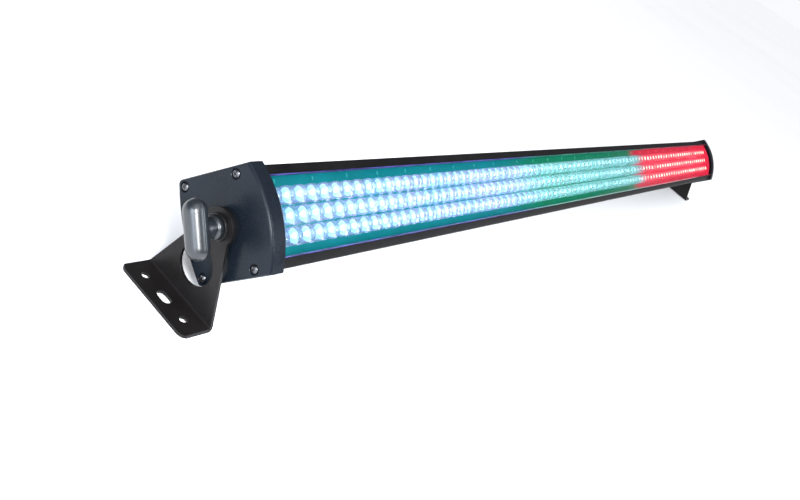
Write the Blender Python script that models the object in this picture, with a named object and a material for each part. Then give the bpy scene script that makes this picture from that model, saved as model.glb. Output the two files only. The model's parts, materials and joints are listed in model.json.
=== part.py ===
"""LED strip batten: a one metre stage light bar on two tilting feet, with every piece as its own object.

Metres, +Z up. The bar lies along X and shines forward (-Y) and up. Both feet stand on z = 0, and the
origin is the middle of the object's footprint. Left is -X. The bar's own pieces are drawn in the bar's
frame: its X axis is the tilt axis, -Y is the way the light leaves and Z runs across the window. An empty
tilts and lifts that frame. A section point is (depth, height): depth grows from the rear edge, 0, to the
front, and height is measured from the middle of the window.
"""

from math import asin, atan2, cos, hypot, pi, radians, sin, sqrt, tan

import bmesh
import bpy
from mathutils import Matrix, Vector

MM = 0.001

# Overall sizes
BAR_LENGTH = 1076 * MM
CAP_HEIGHT = 65 * MM
CAP_DEPTH = 57.5 * MM
FRONT_BULGE = 7.6 * MM
REAR_BULGE = 4.3 * MM
TILT = radians(50)
AXIS_DEPTH = 31.5 * MM
AXIS_HEIGHT = 55 * MM

# Clearances and edges
FIT_GAP = 0.3 * MM
RUNNING_GAP = 0.4 * MM
EDGE_CHAMFER = 0.8 * MM

# End caps
CAP_LENGTH = 12 * MM
CAP_FACE = 4 * MM
CAP_RIM = 1.7 * MM
CAP_EDGE = 1.5 * MM
CAP_CORNER = 3 * MM
CAP_BOSS_RADIUS = 8 * MM
CAP_BOSS_LENGTH = 14 * MM
CAP_SCREW_REAR_INSET = 4.5 * MM
CAP_SCREW_FRONT_INSET = 11.1 * MM
CAP_SCREW_EDGE_INSET = 4.9 * MM
CAP_SCREW_RECESS = 1.6 * MM

# Aluminium housing
WALL = 2 * MM
REAR_FLAT_DEPTH = -0.6 * MM
LIP_THICKNESS = 1 * MM
LIP_HEIGHT = 6 * MM
COVER_THICKNESS = 2.4 * MM
COVER_TONGUE = 2.5 * MM
RIB_THICKNESS = 1.2 * MM
RIB_HEIGHT = 3.3 * MM
PORT_WALL = 1.45 * MM
PORT_SLOT = 1.6 * MM

# LED boards
LED_BOARDS = (
    ("led_board_left", "blue_board"),
    ("led_board_middle", "green_board"),
    ("led_board_right", "red_board"),
)
BOARD_COUNT = len(LED_BOARDS)
LED_ROWS = 3
LED_PITCH = 12.42 * MM
LED_RADIUS = 5 * MM
LED_HEIGHT = 13.5 * MM
LED_TAPER = 0.6
LED_SIDES = 6
BOARD_SETBACK = 14.5 * MM
BOARD_THICKNESS = 1.6 * MM
BOARD_EDGE_GAP = 2.5 * MM
BOARD_GAP = 0.6 * MM

# Screws: head radius, head height, shank radius, shank length
CAP_SCREW = (2.8 * MM, 1.8 * MM, 1.45 * MM, 14 * MM)
PANEL_SCREW = (2.8 * MM, 1.6 * MM, 1.45 * MM, 7 * MM)
# Shares of the head's height and radius, from its top to its seat, and the tip's share of the shank
SCREW_HEAD_SHAPE = ((1, 0.55), (0.6, 0.9), (0.2, 1), (0, 1))
SCREW_TIP = 0.3

# Rear panel and what it carries, placed along the bar from the panel's middle
PANEL_MIDDLE = 250 * MM
PANEL_LENGTH = 320 * MM
PANEL_HEIGHT = 40 * MM
PANEL_THICKNESS = 1.5 * MM
PANEL_SCREW_INSET = 6 * MM
PANEL_SCREW_HEIGHT = 16 * MM
PANEL_LAND = 12 * MM
PANEL_CORNER = 2 * MM
INLET_PLACE = -128 * MM
FUSE_PLACE = -88 * MM
DISPLAY_PLACE = -42 * MM
BUTTON_PLACES = (-6 * MM, 10 * MM, 26 * MM, 42 * MM)
DMX_IN_PLACE = 84 * MM
DMX_OUT_PLACE = 124 * MM

INLET_BEZEL = (31 * MM, 26 * MM, 2.5 * MM)
INLET_BODY = (27 * MM, 20 * MM, 19 * MM)
INLET_WALL = 1.6 * MM
INLET_FLOOR = 2.5 * MM
INLET_CORNER = 1 * MM
INLET_SLOPE = 4 * MM
INLET_PIN = (2 * MM, 4 * MM, 14 * MM)
INLET_PIN_SPREAD = 7 * MM
INLET_PIN_DROP = 2.2 * MM

FUSE_RIM_RADIUS = 8 * MM
FUSE_RIM = 2 * MM
FUSE_BODY_RADIUS = 6.5 * MM
FUSE_BORE_RADIUS = 4.6 * MM
FUSE_BODY_LENGTH = 26 * MM
FUSE_CAP_RADIUS = 6 * MM
FUSE_CAP_HEIGHT = 5 * MM
FUSE_SLOT = (1.2 * MM, 8 * MM, 1.5 * MM)
FUSE_CARRIER = 18 * MM

DISPLAY_SIZE = (31 * MM, 14 * MM)
DISPLAY_PROUD = 0.4 * MM
BUTTON_RADIUS = 3 * MM
BUTTON_PROUD = 1.8 * MM
BUTTON_CHAMFER = 0.6 * MM
BUTTON_COLLAR = 4.2 * MM
BUTTON_COLLAR_THICKNESS = 1.2 * MM
BUTTON_TRAVEL = 1 * MM
SWITCH_SIZE = 6 * MM
SWITCH_HEIGHT = 3 * MM

CONTROL_BOARD_SPAN = (-64 * MM, 58 * MM)
CONTROL_BOARD_HEIGHT = 35 * MM
CONTROL_BOARD_DEPTH = 12 * MM
CHIP_SIZE = 14 * MM
CHIP_HEIGHT = 2 * MM
# The lead's connector: inset from the board's end, length, width, height
CONNECTOR = (4 * MM, 12 * MM, 10 * MM, 6 * MM)
STANDOFF_RADIUS = 2.5 * MM
STANDOFF_INSET = 4.5 * MM

DMX_FLANGE = (26 * MM, 31 * MM, 2 * MM)
DMX_FLANGE_CORNER = 3 * MM
DMX_BARREL_RADIUS = 11.8 * MM
DMX_BARREL_LENGTH = 22 * MM
DMX_MOUTH_RADIUS = 9.4 * MM
DMX_CORE_RADIUS = 7.6 * MM
DMX_MOUTH_DEPTH = 14 * MM
DMX_PIN_RADIUS = 1.2 * MM
DMX_PIN_LENGTH = 12 * MM
DMX_PIN_CIRCLE = 4.2 * MM
DMX_SOCKET_RADIUS = 1.5 * MM
DMX_SOCKET_DEPTH = 8 * MM
LATCH_SIZE = (7 * MM, 2.2 * MM)
LATCH_PROUD = 1.6 * MM
LATCH_STEM = 7 * MM
LATCH_RISE = 1.2 * MM

# Power supply
SUPPLY_MIDDLE = -330 * MM
SUPPLY_LENGTH = 200 * MM
SUPPLY_DEPTH = 30 * MM
SUPPLY_SIDE_GAP = 5.2 * MM
SUPPLY_SCREW_SPREAD = 80 * MM
SUPPLY_SCREW_DEPTH = 5 * MM

# Internal leads
MAINS_LEAD_RADIUS = 2.6 * MM
SIGNAL_LEAD_RADIUS = 1.8 * MM
LEAD_SAG = 5 * MM
LEAD_GAP = 0.5 * MM
LEAD_CLEARANCE = 2 * MM

# Feet
FOOT_SHEET = 2 * MM
FOOT_SPACER = 4.8 * MM
FOOT_TOP_RADIUS = 12 * MM
FOOT_HALF_WIDTH = 31.3 * MM
FOOT_REACH = 22 * MM
FOOT_BEND = 1.2 * MM
FOOT_CORNER = 6 * MM
FOOT_BIG_HOLE_RADIUS = 13.4 * MM
FOOT_BIG_HOLE_DROP = 29.2 * MM
FOOT_SMALL_HOLE_RADIUS = 2.6 * MM
FOOT_SMALL_HOLE_SPREAD = 19 * MM
FOOT_SLOT = (11 * MM, 6.5 * MM)
FOOT_HOLE_OFFSET = 12 * MM

# Clamping knobs
STUD_RADIUS = 4 * MM
STUD_REACH = 13 * MM
INSERT_RADIUS = 6 * MM
INSERT_LENGTH = 9 * MM
INSERT_COVER = 5 * MM
WASHER_RADIUS = 8.5 * MM
WASHER_THICKNESS = 1.6 * MM
KNOB_BAR_RADIUS = 7 * MM
KNOB_BAR_LENGTH = 35 * MM
KNOB_BAR_DISTANCE = 23.1 * MM
KNOB_COLLAR_RADIUS = 7.5 * MM
KNOB_NECK_RADIUS = 6 * MM
KNOB_COLLAR_LENGTH = 3 * MM
KNOB_TURN = radians(9)
STUD_IN_KNOB = 9 * MM
SPACER_RADIUS = 11 * MM

# Values worked out from the sizes above
HALF_BAR = BAR_LENGTH / 2
CAP_HALF = CAP_HEIGHT / 2
FRONT_RADIUS = (CAP_HALF**2 + FRONT_BULGE**2) / (2 * FRONT_BULGE)
REAR_RADIUS = (CAP_HALF**2 + REAR_BULGE**2) / (2 * REAR_BULGE)
FRONT_CENTRE = CAP_DEPTH + FRONT_BULGE - FRONT_RADIUS
REAR_CENTRE = REAR_RADIUS - REAR_BULGE
HOUSING_INSET = CAP_RIM + FIT_GAP
HOUSING_HALF = CAP_HALF - HOUSING_INSET
HOUSING_END = HALF_BAR - CAP_FACE - FIT_GAP
COVER_RADIUS = FRONT_RADIUS - HOUSING_INSET
COVER_INNER_RADIUS = COVER_RADIUS - COVER_THICKNESS
LIP_RADIUS = COVER_RADIUS - FIT_GAP
SLOT_FRONT_RADIUS = LIP_RADIUS - LIP_THICKNESS
SLOT_REAR_RADIUS = COVER_INNER_RADIUS - FIT_GAP
WINDOW_HALF = HOUSING_HALF - LIP_HEIGHT
TONGUE_HALF = WINDOW_HALF + COVER_TONGUE
SLOT_HALF = TONGUE_HALF + FIT_GAP
INNER_HALF = HOUSING_HALF - WALL
RIB_HALF = INNER_HALF - RIB_HEIGHT
LATCH_HEIGHT = DMX_BARREL_RADIUS + LATCH_RISE
CAP_SCREW_DEPTHS = (CAP_SCREW_REAR_INSET, CAP_DEPTH - CAP_SCREW_FRONT_INSET)
CAP_SCREW_HEIGHT = CAP_HALF - CAP_SCREW_EDGE_INSET
PORT_RADIUS = CAP_SCREW[2] + FIT_GAP
PORT_BLOCK = PORT_RADIUS + PORT_WALL
BOARD_FRONT = CAP_DEPTH - BOARD_SETBACK
BOARD_REAR = BOARD_FRONT - BOARD_THICKNESS
BOARD_HALF = INNER_HALF - BOARD_EDGE_GAP
BOARD_COLUMNS = int(2 * HOUSING_END / BOARD_COUNT / LED_PITCH)
REAR_INNER = REAR_FLAT_DEPTH + WALL
PANEL_INNER = REAR_FLAT_DEPTH - FIT_GAP
PANEL_OUTER = PANEL_INNER - PANEL_THICKNESS
FACE_OUTER = PANEL_OUTER - FIT_GAP
PLATE_OUTER = FOOT_SPACER + FOOT_SHEET
SUPPLY_REAR = REAR_INNER + FIT_GAP
ROUND_STEPS = 24
TURNED_STEPS = 20
HOLE_STEPS = 16
BIG_HOLE_STEPS = 32
SLOT_STEPS = 8
SMALL_STEPS = 10
PIN_STEPS = 8
LEAD_STEPS = 4
MERGE_DISTANCE = 0.001 * MM

COLOURS = {
    "cap_plastic": ((0.020, 0.024, 0.030), 0.45, 0.0),
    "black_aluminium": ((0.012, 0.012, 0.013), 0.40, 0.6),
    "clear_cover": ((0.80, 0.84, 0.90), 0.05, 0.0),
    "screw_steel": ((0.10, 0.10, 0.11), 0.35, 1.0),
    "blue_board": ((0.0, 0.30, 0.30), 0.40, 0.0),
    "green_board": ((0.0, 0.26, 0.14), 0.40, 0.0),
    "red_board": ((0.75, 0.03, 0.08), 0.40, 0.0),
    "circuit_board": ((0.01, 0.13, 0.05), 0.45, 0.0),
    "supply_case": ((0.55, 0.56, 0.58), 0.35, 1.0),
    "brass": ((0.60, 0.42, 0.16), 0.30, 1.0),
    "panel_paint": ((0.010, 0.010, 0.011), 0.50, 0.0),
    "socket_plastic": ((0.008, 0.008, 0.009), 0.45, 0.0),
    "socket_metal": ((0.33, 0.33, 0.34), 0.30, 1.0),
    "display_plastic": ((0.07, 0.008, 0.008), 0.12, 0.0),
    "button_plastic": ((0.03, 0.03, 0.03), 0.40, 0.0),
    "foot_paint": ((0.010, 0.008, 0.007), 0.42, 0.0),
    "knob_plastic": ((0.016, 0.020, 0.026), 0.35, 0.0),
    "zinc_steel": ((0.45, 0.45, 0.46), 0.30, 1.0),
    "spacer_rubber": ((0.010, 0.010, 0.010), 0.80, 0.0),
    "lead_sheath": ((0.010, 0.010, 0.010), 0.60, 0.0),
}


def clear_scene():
    for old in list(bpy.data.objects):
        bpy.data.objects.remove(old, do_unlink=True)


def material(name):
    """The Principled material of this name, made on first use."""
    if name in bpy.data.materials:
        return bpy.data.materials[name]
    colour, roughness, metallic = COLOURS[name]
    made = bpy.data.materials.new(name)
    made.use_nodes = True
    shader = made.node_tree.nodes["Principled BSDF"]
    shader.inputs["Base Color"].default_value = (*colour, 1.0)
    shader.inputs["Roughness"].default_value = roughness
    shader.inputs["Metallic"].default_value = metallic
    return made


def new_object(name, mesh_data, material_name=None):
    """Link a finished bmesh as an object with smooth round faces."""
    bmesh.ops.remove_doubles(mesh_data, verts=mesh_data.verts, dist=MERGE_DISTANCE)
    bmesh.ops.recalc_face_normals(mesh_data, faces=mesh_data.faces)
    mesh = bpy.data.meshes.new(name)
    mesh_data.to_mesh(mesh)
    mesh_data.free()
    made = bpy.data.objects.new(name, mesh)
    bpy.context.scene.collection.objects.link(made)
    finish(made, material_name)
    return made


def finish(made, material_name):
    made.data.shade_smooth()
    made.data.set_sharp_from_angle(angle=radians(35))
    if material_name:
        made.data.materials.clear()
        made.data.materials.append(material(material_name))


def combine(target, operation, tools):
    """Apply one Boolean after another to the target, and delete the tools."""
    for tool in tools:
        modifier = target.modifiers.new(tool.name, "BOOLEAN")
        modifier.operation = operation
        modifier.solver = "EXACT"
        modifier.object = tool
    evaluated = target.evaluated_get(bpy.context.evaluated_depsgraph_get())
    result = bpy.data.meshes.new_from_object(evaluated)
    slots = [slot.name for slot in result.materials if slot]
    mesh_data = bmesh.new()
    mesh_data.from_mesh(result)
    bmesh.ops.remove_doubles(mesh_data, verts=mesh_data.verts, dist=MERGE_DISTANCE)
    mesh_data.to_mesh(result)
    mesh_data.free()
    target.modifiers.clear()
    target.data = result
    for tool in tools:
        bpy.data.objects.remove(tool, do_unlink=True)
    finish(target, slots[0] if slots else None)
    return target


def cut(target, *tools):
    return combine(target, "DIFFERENCE", tools)


def join(target, *tools):
    return combine(target, "UNION", tools)


def point_on(axis, along, first, second):
    """A 3D point from a distance along the axis and the two other coordinates in X, Y, Z order."""
    if axis == "X":
        return (along, first, second)
    if axis == "Y":
        return (first, along, second)
    return (first, second, along)


def prism(name, outline, start, end, axis="X", material_name=None):
    """A closed outline of 2D points, extruded along the axis from start to end."""
    mesh_data = bmesh.new()
    corners = [mesh_data.verts.new(point_on(axis, start, *point)) for point in outline]
    face = mesh_data.faces.new(corners)
    extruded = bmesh.ops.extrude_face_region(mesh_data, geom=[face])["geom"]
    moved = [item for item in extruded if isinstance(item, bmesh.types.BMVert)]
    bmesh.ops.translate(mesh_data, verts=moved, vec=point_on(axis, end - start, 0, 0))
    return new_object(name, mesh_data, material_name)


def block(name, x_span, y_span, z_span, material_name=None):
    outline = [
        (x_span[0], y_span[0]),
        (x_span[1], y_span[0]),
        (x_span[1], y_span[1]),
        (x_span[0], y_span[1]),
    ]
    return prism(name, outline, z_span[0], z_span[1], "Z", material_name)


def lathe(name, profile, axis="X", steps=ROUND_STEPS, material_name=None):
    """Turn points (along, radius) about the axis. A profile that ends off the axis closes on itself."""
    mesh_data = bmesh.new()
    points = [
        mesh_data.verts.new(point_on(axis, along, *((radius, 0) if axis == "Z" else (0, radius))))
        for along, radius in profile
    ]
    edges = [mesh_data.edges.new(pair) for pair in zip(points, points[1:])]
    if profile[0][1] > 0:
        edges.append(mesh_data.edges.new((points[-1], points[0])))
    turn = Vector(point_on(axis, 1, 0, 0))
    bmesh.ops.spin(
        mesh_data, geom=points + edges, cent=(0, 0, 0), axis=turn, angle=2 * pi, steps=steps, use_merge=True
    )
    return new_object(name, mesh_data, material_name)


def rod(name, start, end, radius, axis="X", steps=ROUND_STEPS, at=(0, 0), material_name=None):
    """A plain cylinder along the axis, moved by the two other coordinates in at."""
    made = lathe(name, [(start, 0), (start, radius), (end, radius), (end, 0)], axis, steps, material_name)
    made.data.transform(Matrix.Translation(point_on(axis, 0, *at)))
    return made


def arc(centre, radius, start, end, steps):
    """Points on a circle from one angle to another, both included."""
    angles = [start + (end - start) * step / steps for step in range(steps + 1)]
    return [(centre[0] + radius * cos(angle), centre[1] + radius * sin(angle)) for angle in angles]


def rounded(corners, steps=4):
    """An outline from (a, b, radius) corners, each rounded by its own radius."""
    points = []
    for index, (a, b, radius) in enumerate(corners):
        if radius == 0:
            points.append((a, b))
            continue
        here = Vector((a, b))
        before = (Vector(corners[index - 1][:2]) - here).normalized()
        after = (Vector(corners[(index + 1) % len(corners)][:2]) - here).normalized()
        half_angle = before.angle(after) / 2
        centre = here + (before + after).normalized() * radius / sin(half_angle)
        first = here + before * radius / tan(half_angle) - centre
        last = here + after * radius / tan(half_angle) - centre
        sweep = first.angle_signed(last)
        for step in range(steps + 1):
            turned = Matrix.Rotation(-sweep * step / steps, 2) @ first
            points.append((centre.x + turned.x, centre.y + turned.y))
    return points


def rectangle(width, height, radius, middle=(0, 0)):
    """A rounded rectangle about a middle point."""
    a, b = middle
    x, y = width / 2, height / 2
    corners = [(a - x, b - y), (a + x, b - y), (a + x, b + y), (a - x, b + y)]
    return rounded([(*corner, radius) for corner in corners])


def to_bar(points):
    """Section points (depth, height) as (y, z) in the bar's frame."""
    return [(AXIS_DEPTH - depth, height) for depth, height in points]


def bar_y(depth):
    return AXIS_DEPTH - depth


def front_depth(radius, height):
    """Depth of the front arc of this radius at a height."""
    return FRONT_CENTRE + sqrt(radius**2 - height**2)


def front_arc(radius, start_height, end_height, steps):
    centre = (FRONT_CENTRE, 0)
    return arc(centre, radius, asin(start_height / radius), asin(end_height / radius), steps)


def rear_arc(radius, start_height, end_height, steps):
    centre = (REAR_CENTRE, 0)
    return arc(centre, radius, pi - asin(start_height / radius), pi - asin(end_height / radius), steps)


def body_outline(inset, flat_rear):
    """The housing's outer section, this far inside the cap's outline, as depth and height."""
    half = CAP_HALF - inset
    corner = CAP_CORNER - inset / 2
    straight = half - corner
    front = front_arc(FRONT_RADIUS - inset, -half, half, 14)
    if flat_rear:
        flat_distance = REAR_CENTRE - REAR_FLAT_DEPTH + HOUSING_INSET - inset
        flat_half = sqrt((REAR_RADIUS - inset) ** 2 - flat_distance**2)
        upper = rear_arc(REAR_RADIUS - inset, straight, flat_half, 4)
        lower = rear_arc(REAR_RADIUS - inset, -flat_half, -straight, 4)
        rear = upper + lower
    else:
        rear = rear_arc(REAR_RADIUS - inset, straight, -straight, 10)
    top_corner = rounded([(front[-1][0], half, 0), (rear[0][0], half, corner), (*rear[0], 0)])[1:-1]
    bottom_corner = rounded([(*rear[-1], 0), (rear[-1][0], -half, corner), (front[0][0], -half, 0)])[1:-1]
    return front + top_corner[:-1] + rear + bottom_corner[1:]


def screw_port(depth):
    """One screw port of the upper half, from its front edge to its rear edge: a round slot open below."""
    spread = asin(PORT_SLOT / 2 / PORT_RADIUS)
    ring = arc((depth, CAP_SCREW_HEIGHT), PORT_RADIUS, -pi / 2 + spread, 3 * pi / 2 - spread, 10)
    front, rear = depth + PORT_BLOCK, depth - PORT_BLOCK
    slot_front, slot_rear = depth + PORT_SLOT / 2, depth - PORT_SLOT / 2
    lead_in = [(front, INNER_HALF), (front, RIB_HALF), (slot_front, RIB_HALF)]
    return lead_in + ring + [(slot_rear, RIB_HALF), (rear, RIB_HALF)]


def housing_outline():
    """The extrusion's section: rear and side walls, cover slots, board slots and screw ports."""
    outer = body_outline(HOUSING_INSET, True)
    upper = [point for point in outer if point[1] > 0 and point[0] < CAP_DEPTH / 2]
    corner_depth = front_depth(LIP_RADIUS, HOUSING_HALF)
    lip = [(corner_depth, HOUSING_HALF), *front_arc(LIP_RADIUS, HOUSING_HALF, WINDOW_HALF, 4)[1:]]
    slot = [
        *front_arc(SLOT_FRONT_RADIUS, WINDOW_HALF, SLOT_HALF, 2),
        *front_arc(SLOT_REAR_RADIUS, SLOT_HALF, RIB_HALF, 2),
        *front_arc(SLOT_REAR_RADIUS - RIB_THICKNESS, RIB_HALF, INNER_HALF, 2),
    ]
    slot_rear = BOARD_REAR - FIT_GAP
    slot_front = CAP_SCREW_DEPTHS[1] - PORT_BLOCK
    board_slot = [
        (slot_front, INNER_HALF),
        (slot_rear, INNER_HALF),
        (slot_rear, RIB_HALF),
        (slot_rear - RIB_THICKNESS, RIB_HALF),
        (slot_rear - RIB_THICKNESS, INNER_HALF),
    ]
    inner = slot + screw_port(CAP_SCREW_DEPTHS[1]) + board_slot + screw_port(CAP_SCREW_DEPTHS[0])[:-1]
    inner.append((REAR_INNER, RIB_HALF))
    top_half = upper[::-1] + lip + inner
    bottom_half = [(depth, -height) for depth, height in reversed(top_half)]
    return to_bar(top_half + bottom_half)


def make_housing():
    span = (-HOUSING_END, HOUSING_END)
    housing = prism("housing_extrusion", housing_outline(), *span, "X", "black_aluminium")
    half_length = PANEL_LENGTH / 2 - PANEL_LAND
    window = block(
        "panel_window",
        (PANEL_MIDDLE - half_length, PANEL_MIDDLE + half_length),
        (bar_y(REAR_INNER + WALL), bar_y(PANEL_OUTER)),
        (-PANEL_HEIGHT / 2 + WALL, PANEL_HEIGHT / 2 - WALL),
    )
    radius = PANEL_SCREW[2] + FIT_GAP
    rear_span = (bar_y(REAR_INNER + WALL), bar_y(PANEL_OUTER))
    places = panel_screw_places() + [(x, 0) for x in supply_screw_places()]
    holes = [rod("screw_hole", *rear_span, radius, "Y", SMALL_STEPS, place) for place in places]
    return cut(housing, window, *holes)


def panel_screw_places():
    reach = PANEL_LENGTH / 2 - PANEL_SCREW_INSET
    ends = (PANEL_MIDDLE - reach, PANEL_MIDDLE + reach)
    return [(x, side * PANEL_SCREW_HEIGHT) for x in ends for side in (-1, 1)]


def supply_screw_places():
    return [SUPPLY_MIDDLE + side * SUPPLY_SCREW_SPREAD for side in (-1, 1)]


def make_cover():
    """The clear window: an arc with a rebated tongue along each long edge."""
    edge = WINDOW_HALF - FIT_GAP
    tongue_radius = SLOT_FRONT_RADIUS - FIT_GAP
    outline = [
        *front_arc(tongue_radius, -TONGUE_HALF, -edge, 1),
        *front_arc(COVER_RADIUS, -edge, edge, 12),
        *front_arc(tongue_radius, edge, TONGUE_HALF, 1),
        *front_arc(COVER_INNER_RADIUS, TONGUE_HALF, -TONGUE_HALF, 12),
    ]
    return prism("front_cover", to_bar(outline), -HOUSING_END, HOUSING_END, "X", "clear_cover")


def cap_screw_places():
    return [(bar_y(depth), level * CAP_SCREW_HEIGHT) for depth in CAP_SCREW_DEPTHS for level in (-1, 1)]


def make_cap(name, side):
    """A moulded cap: a face, a rim around the housing's end, and a boss for the knob's insert."""
    outer = to_bar(body_outline(0, False))
    inner = -side * CAP_LENGTH
    floor = -side * CAP_FACE
    cap = prism(name, outer, 0, inner, "X", "cap_plastic")
    bevel_outer_edge(cap)
    pocket = prism("pocket", to_bar(body_outline(CAP_RIM, True)), floor, inner - side * CAP_EDGE)
    cap = cut(cap, pocket)
    boss_end = floor - side * (CAP_BOSS_LENGTH - CAP_FACE)
    cap = join(cap, rod("boss", floor + side * CAP_FACE / 2, boss_end, CAP_BOSS_RADIUS))
    insert_seat = -side * INSERT_COVER
    insert_hole = rod("insert_hole", insert_seat, boss_end - side * CAP_EDGE, INSERT_RADIUS + FIT_GAP)
    stud_hole = rod("stud_hole", side * CAP_EDGE, insert_seat - side * CAP_EDGE, STUD_RADIUS + RUNNING_GAP)
    tools = [insert_hole, stud_hole]
    head_radius, _, shank_radius, _ = CAP_SCREW
    recess_floor = -side * CAP_SCREW_RECESS
    recess_span = (side * CAP_EDGE, recess_floor)
    hole_span = (recess_floor / 2, floor - side * CAP_EDGE)
    for place in cap_screw_places():
        tools.append(rod("recess", *recess_span, head_radius + RUNNING_GAP, "X", HOLE_STEPS, place))
        tools.append(rod("hole", *hole_span, shank_radius + FIT_GAP, "X", SMALL_STEPS, place))
    return cut(cap, *tools)


def bevel_outer_edge(cap):
    """Round the outline's edge on the cap's outer face, which lies at x = 0."""
    mesh_data = bmesh.new()
    mesh_data.from_mesh(cap.data)
    on_face = [vert for vert in mesh_data.verts if abs(vert.co.x) < MERGE_DISTANCE]
    edges = [edge for edge in mesh_data.edges if all(vert in on_face for vert in edge.verts)]
    bmesh.ops.bevel(mesh_data, geom=edges, offset=CAP_EDGE, segments=2, profile=0.5, affect="EDGES")
    mesh_data.to_mesh(cap.data)
    mesh_data.free()


def make_insert(name, side):
    start = -side * (INSERT_COVER + FIT_GAP)
    end = start - side * INSERT_LENGTH
    bore = STUD_RADIUS + FIT_GAP
    profile = [(start, bore), (start, INSERT_RADIUS), (end, INSERT_RADIUS), (end, bore)]
    return lathe(name, profile, "X", TURNED_STEPS, "brass")


def make_screw(name, size, direction, axis, at, seat, material_name="screw_steel"):
    """A pan head screw whose head sits on seat and whose shank runs the other way from direction."""
    head_radius, head_height, shank_radius, shank_length = size
    base = seat + direction * FIT_GAP
    tip = base - direction * shank_length
    profile = [(base + direction * head_height, 0)]
    for height_share, radius_share in SCREW_HEAD_SHAPE:
        profile.append((base + direction * head_height * height_share, head_radius * radius_share))
    profile += [
        (base, shank_radius),
        (tip + direction * shank_radius, shank_radius),
        (tip, shank_radius * SCREW_TIP),
        (tip, 0),
    ]
    made = lathe(name, profile, axis, SMALL_STEPS, material_name)
    made.data.transform(Matrix.Translation(point_on(axis, 0, *at)))
    return made


def make_cap_screws(side, side_name):
    seat = -side * CAP_SCREW_RECESS
    return [
        make_screw(f"cap_screw_{side_name}_{number}", CAP_SCREW, side, "X", place, seat)
        for number, place in enumerate(cap_screw_places(), 1)
    ]


def board_span(index):
    """The ends of one LED board along the bar."""
    length = BOARD_COLUMNS * LED_PITCH
    start = (index - BOARD_COUNT / 2) * length
    return start + BOARD_GAP / 2, start + length - BOARD_GAP / 2


def make_led_board(name, index, material_name):
    """One board with its three rows of round LEDs, as one solid."""
    start, end = board_span(index)
    y_span = (bar_y(BOARD_FRONT), bar_y(BOARD_REAR))
    board = block(name, (start, end), y_span, (-BOARD_HALF, BOARD_HALF), material_name)
    leds = bmesh.new()
    tip_radius = LED_RADIUS * LED_TAPER
    sunk = BOARD_THICKNESS / 2
    for column in range(BOARD_COLUMNS):
        for row in range(LED_ROWS):
            x = start - BOARD_GAP / 2 + (column + 0.5) * LED_PITCH
            z = (row - (LED_ROWS - 1) / 2) * LED_PITCH
            y = bar_y(BOARD_FRONT - sunk + (LED_HEIGHT + sunk) / 2)
            place = Matrix.Translation((x, y, z)) @ Matrix.Rotation(pi / 2, 4, "X")
            bmesh.ops.create_cone(
                leds,
                cap_ends=True,
                segments=LED_SIDES,
                radius1=LED_RADIUS,
                radius2=tip_radius,
                depth=LED_HEIGHT + sunk,
                matrix=place,
            )
    return join(board, new_object("leds", leds))


def make_supply():
    """The power supply's case, with threaded holes where the housing's screws reach it."""
    x_span = (SUPPLY_MIDDLE - SUPPLY_LENGTH / 2, SUPPLY_MIDDLE + SUPPLY_LENGTH / 2)
    y_span = (bar_y(SUPPLY_REAR + SUPPLY_DEPTH), bar_y(SUPPLY_REAR))
    half = RIB_HALF - SUPPLY_SIDE_GAP
    supply = block("power_supply", x_span, y_span, (-half, half), "supply_case")
    radius = PANEL_SCREW[2] + FIT_GAP
    top = bar_y(SUPPLY_REAR - FIT_GAP)
    bottom = bar_y(SUPPLY_REAR + SUPPLY_SCREW_DEPTH)
    places = [(x, 0) for x in supply_screw_places()]
    return cut(supply, *[rod("hole", bottom, top, radius, "Y", SMALL_STEPS, place) for place in places])


def make_panel():
    """The rear panel plate with a cut-out for each thing that it carries."""
    outline = rectangle(PANEL_LENGTH, PANEL_HEIGHT, PANEL_CORNER, (PANEL_MIDDLE, 0))
    panel = prism("rear_panel", outline, bar_y(PANEL_INNER), bar_y(PANEL_OUTER), "Y", "panel_paint")
    span = (bar_y(PANEL_INNER + PANEL_THICKNESS), bar_y(PANEL_OUTER - PANEL_THICKNESS))
    tools = [
        block_hole(INLET_PLACE, INLET_BODY[0], INLET_BODY[1], span),
        block_hole(DISPLAY_PLACE, *DISPLAY_SIZE, span),
        panel_hole(FUSE_PLACE, FUSE_BODY_RADIUS, span),
        panel_hole(DMX_IN_PLACE, DMX_BARREL_RADIUS, span),
        panel_hole(DMX_OUT_PLACE, DMX_BARREL_RADIUS, span),
        latch_hole(DMX_OUT_PLACE, span),
    ]
    tools += [panel_hole(place, BUTTON_RADIUS, span) for place in BUTTON_PLACES]
    screw_radius = PANEL_SCREW[2] + FIT_GAP
    for place in panel_screw_places():
        tools.append(rod("hole", *span, screw_radius, "Y", SMALL_STEPS, place))
    return cut(panel, *tools)


def panel_hole(place, radius, span):
    return rod("hole", *span, radius + FIT_GAP, "Y", ROUND_STEPS, (PANEL_MIDDLE + place, 0))


def block_hole(place, width, height, span):
    x_span = (PANEL_MIDDLE + place - width / 2 - FIT_GAP, PANEL_MIDDLE + place + width / 2 + FIT_GAP)
    return block("hole", x_span, span, (-height / 2 - FIT_GAP, height / 2 + FIT_GAP))


def latch_hole(place, span):
    """The opening for the latch's stem, which runs into the round hole below it."""
    width, height = LATCH_SIZE
    x_span = (PANEL_MIDDLE + place - width / 2 - FIT_GAP, PANEL_MIDDLE + place + width / 2 + FIT_GAP)
    z_span = (LATCH_HEIGHT - LATCH_STEM / 2, LATCH_HEIGHT + height / 2 + FIT_GAP)
    return block("hole", x_span, span, z_span)


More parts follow.
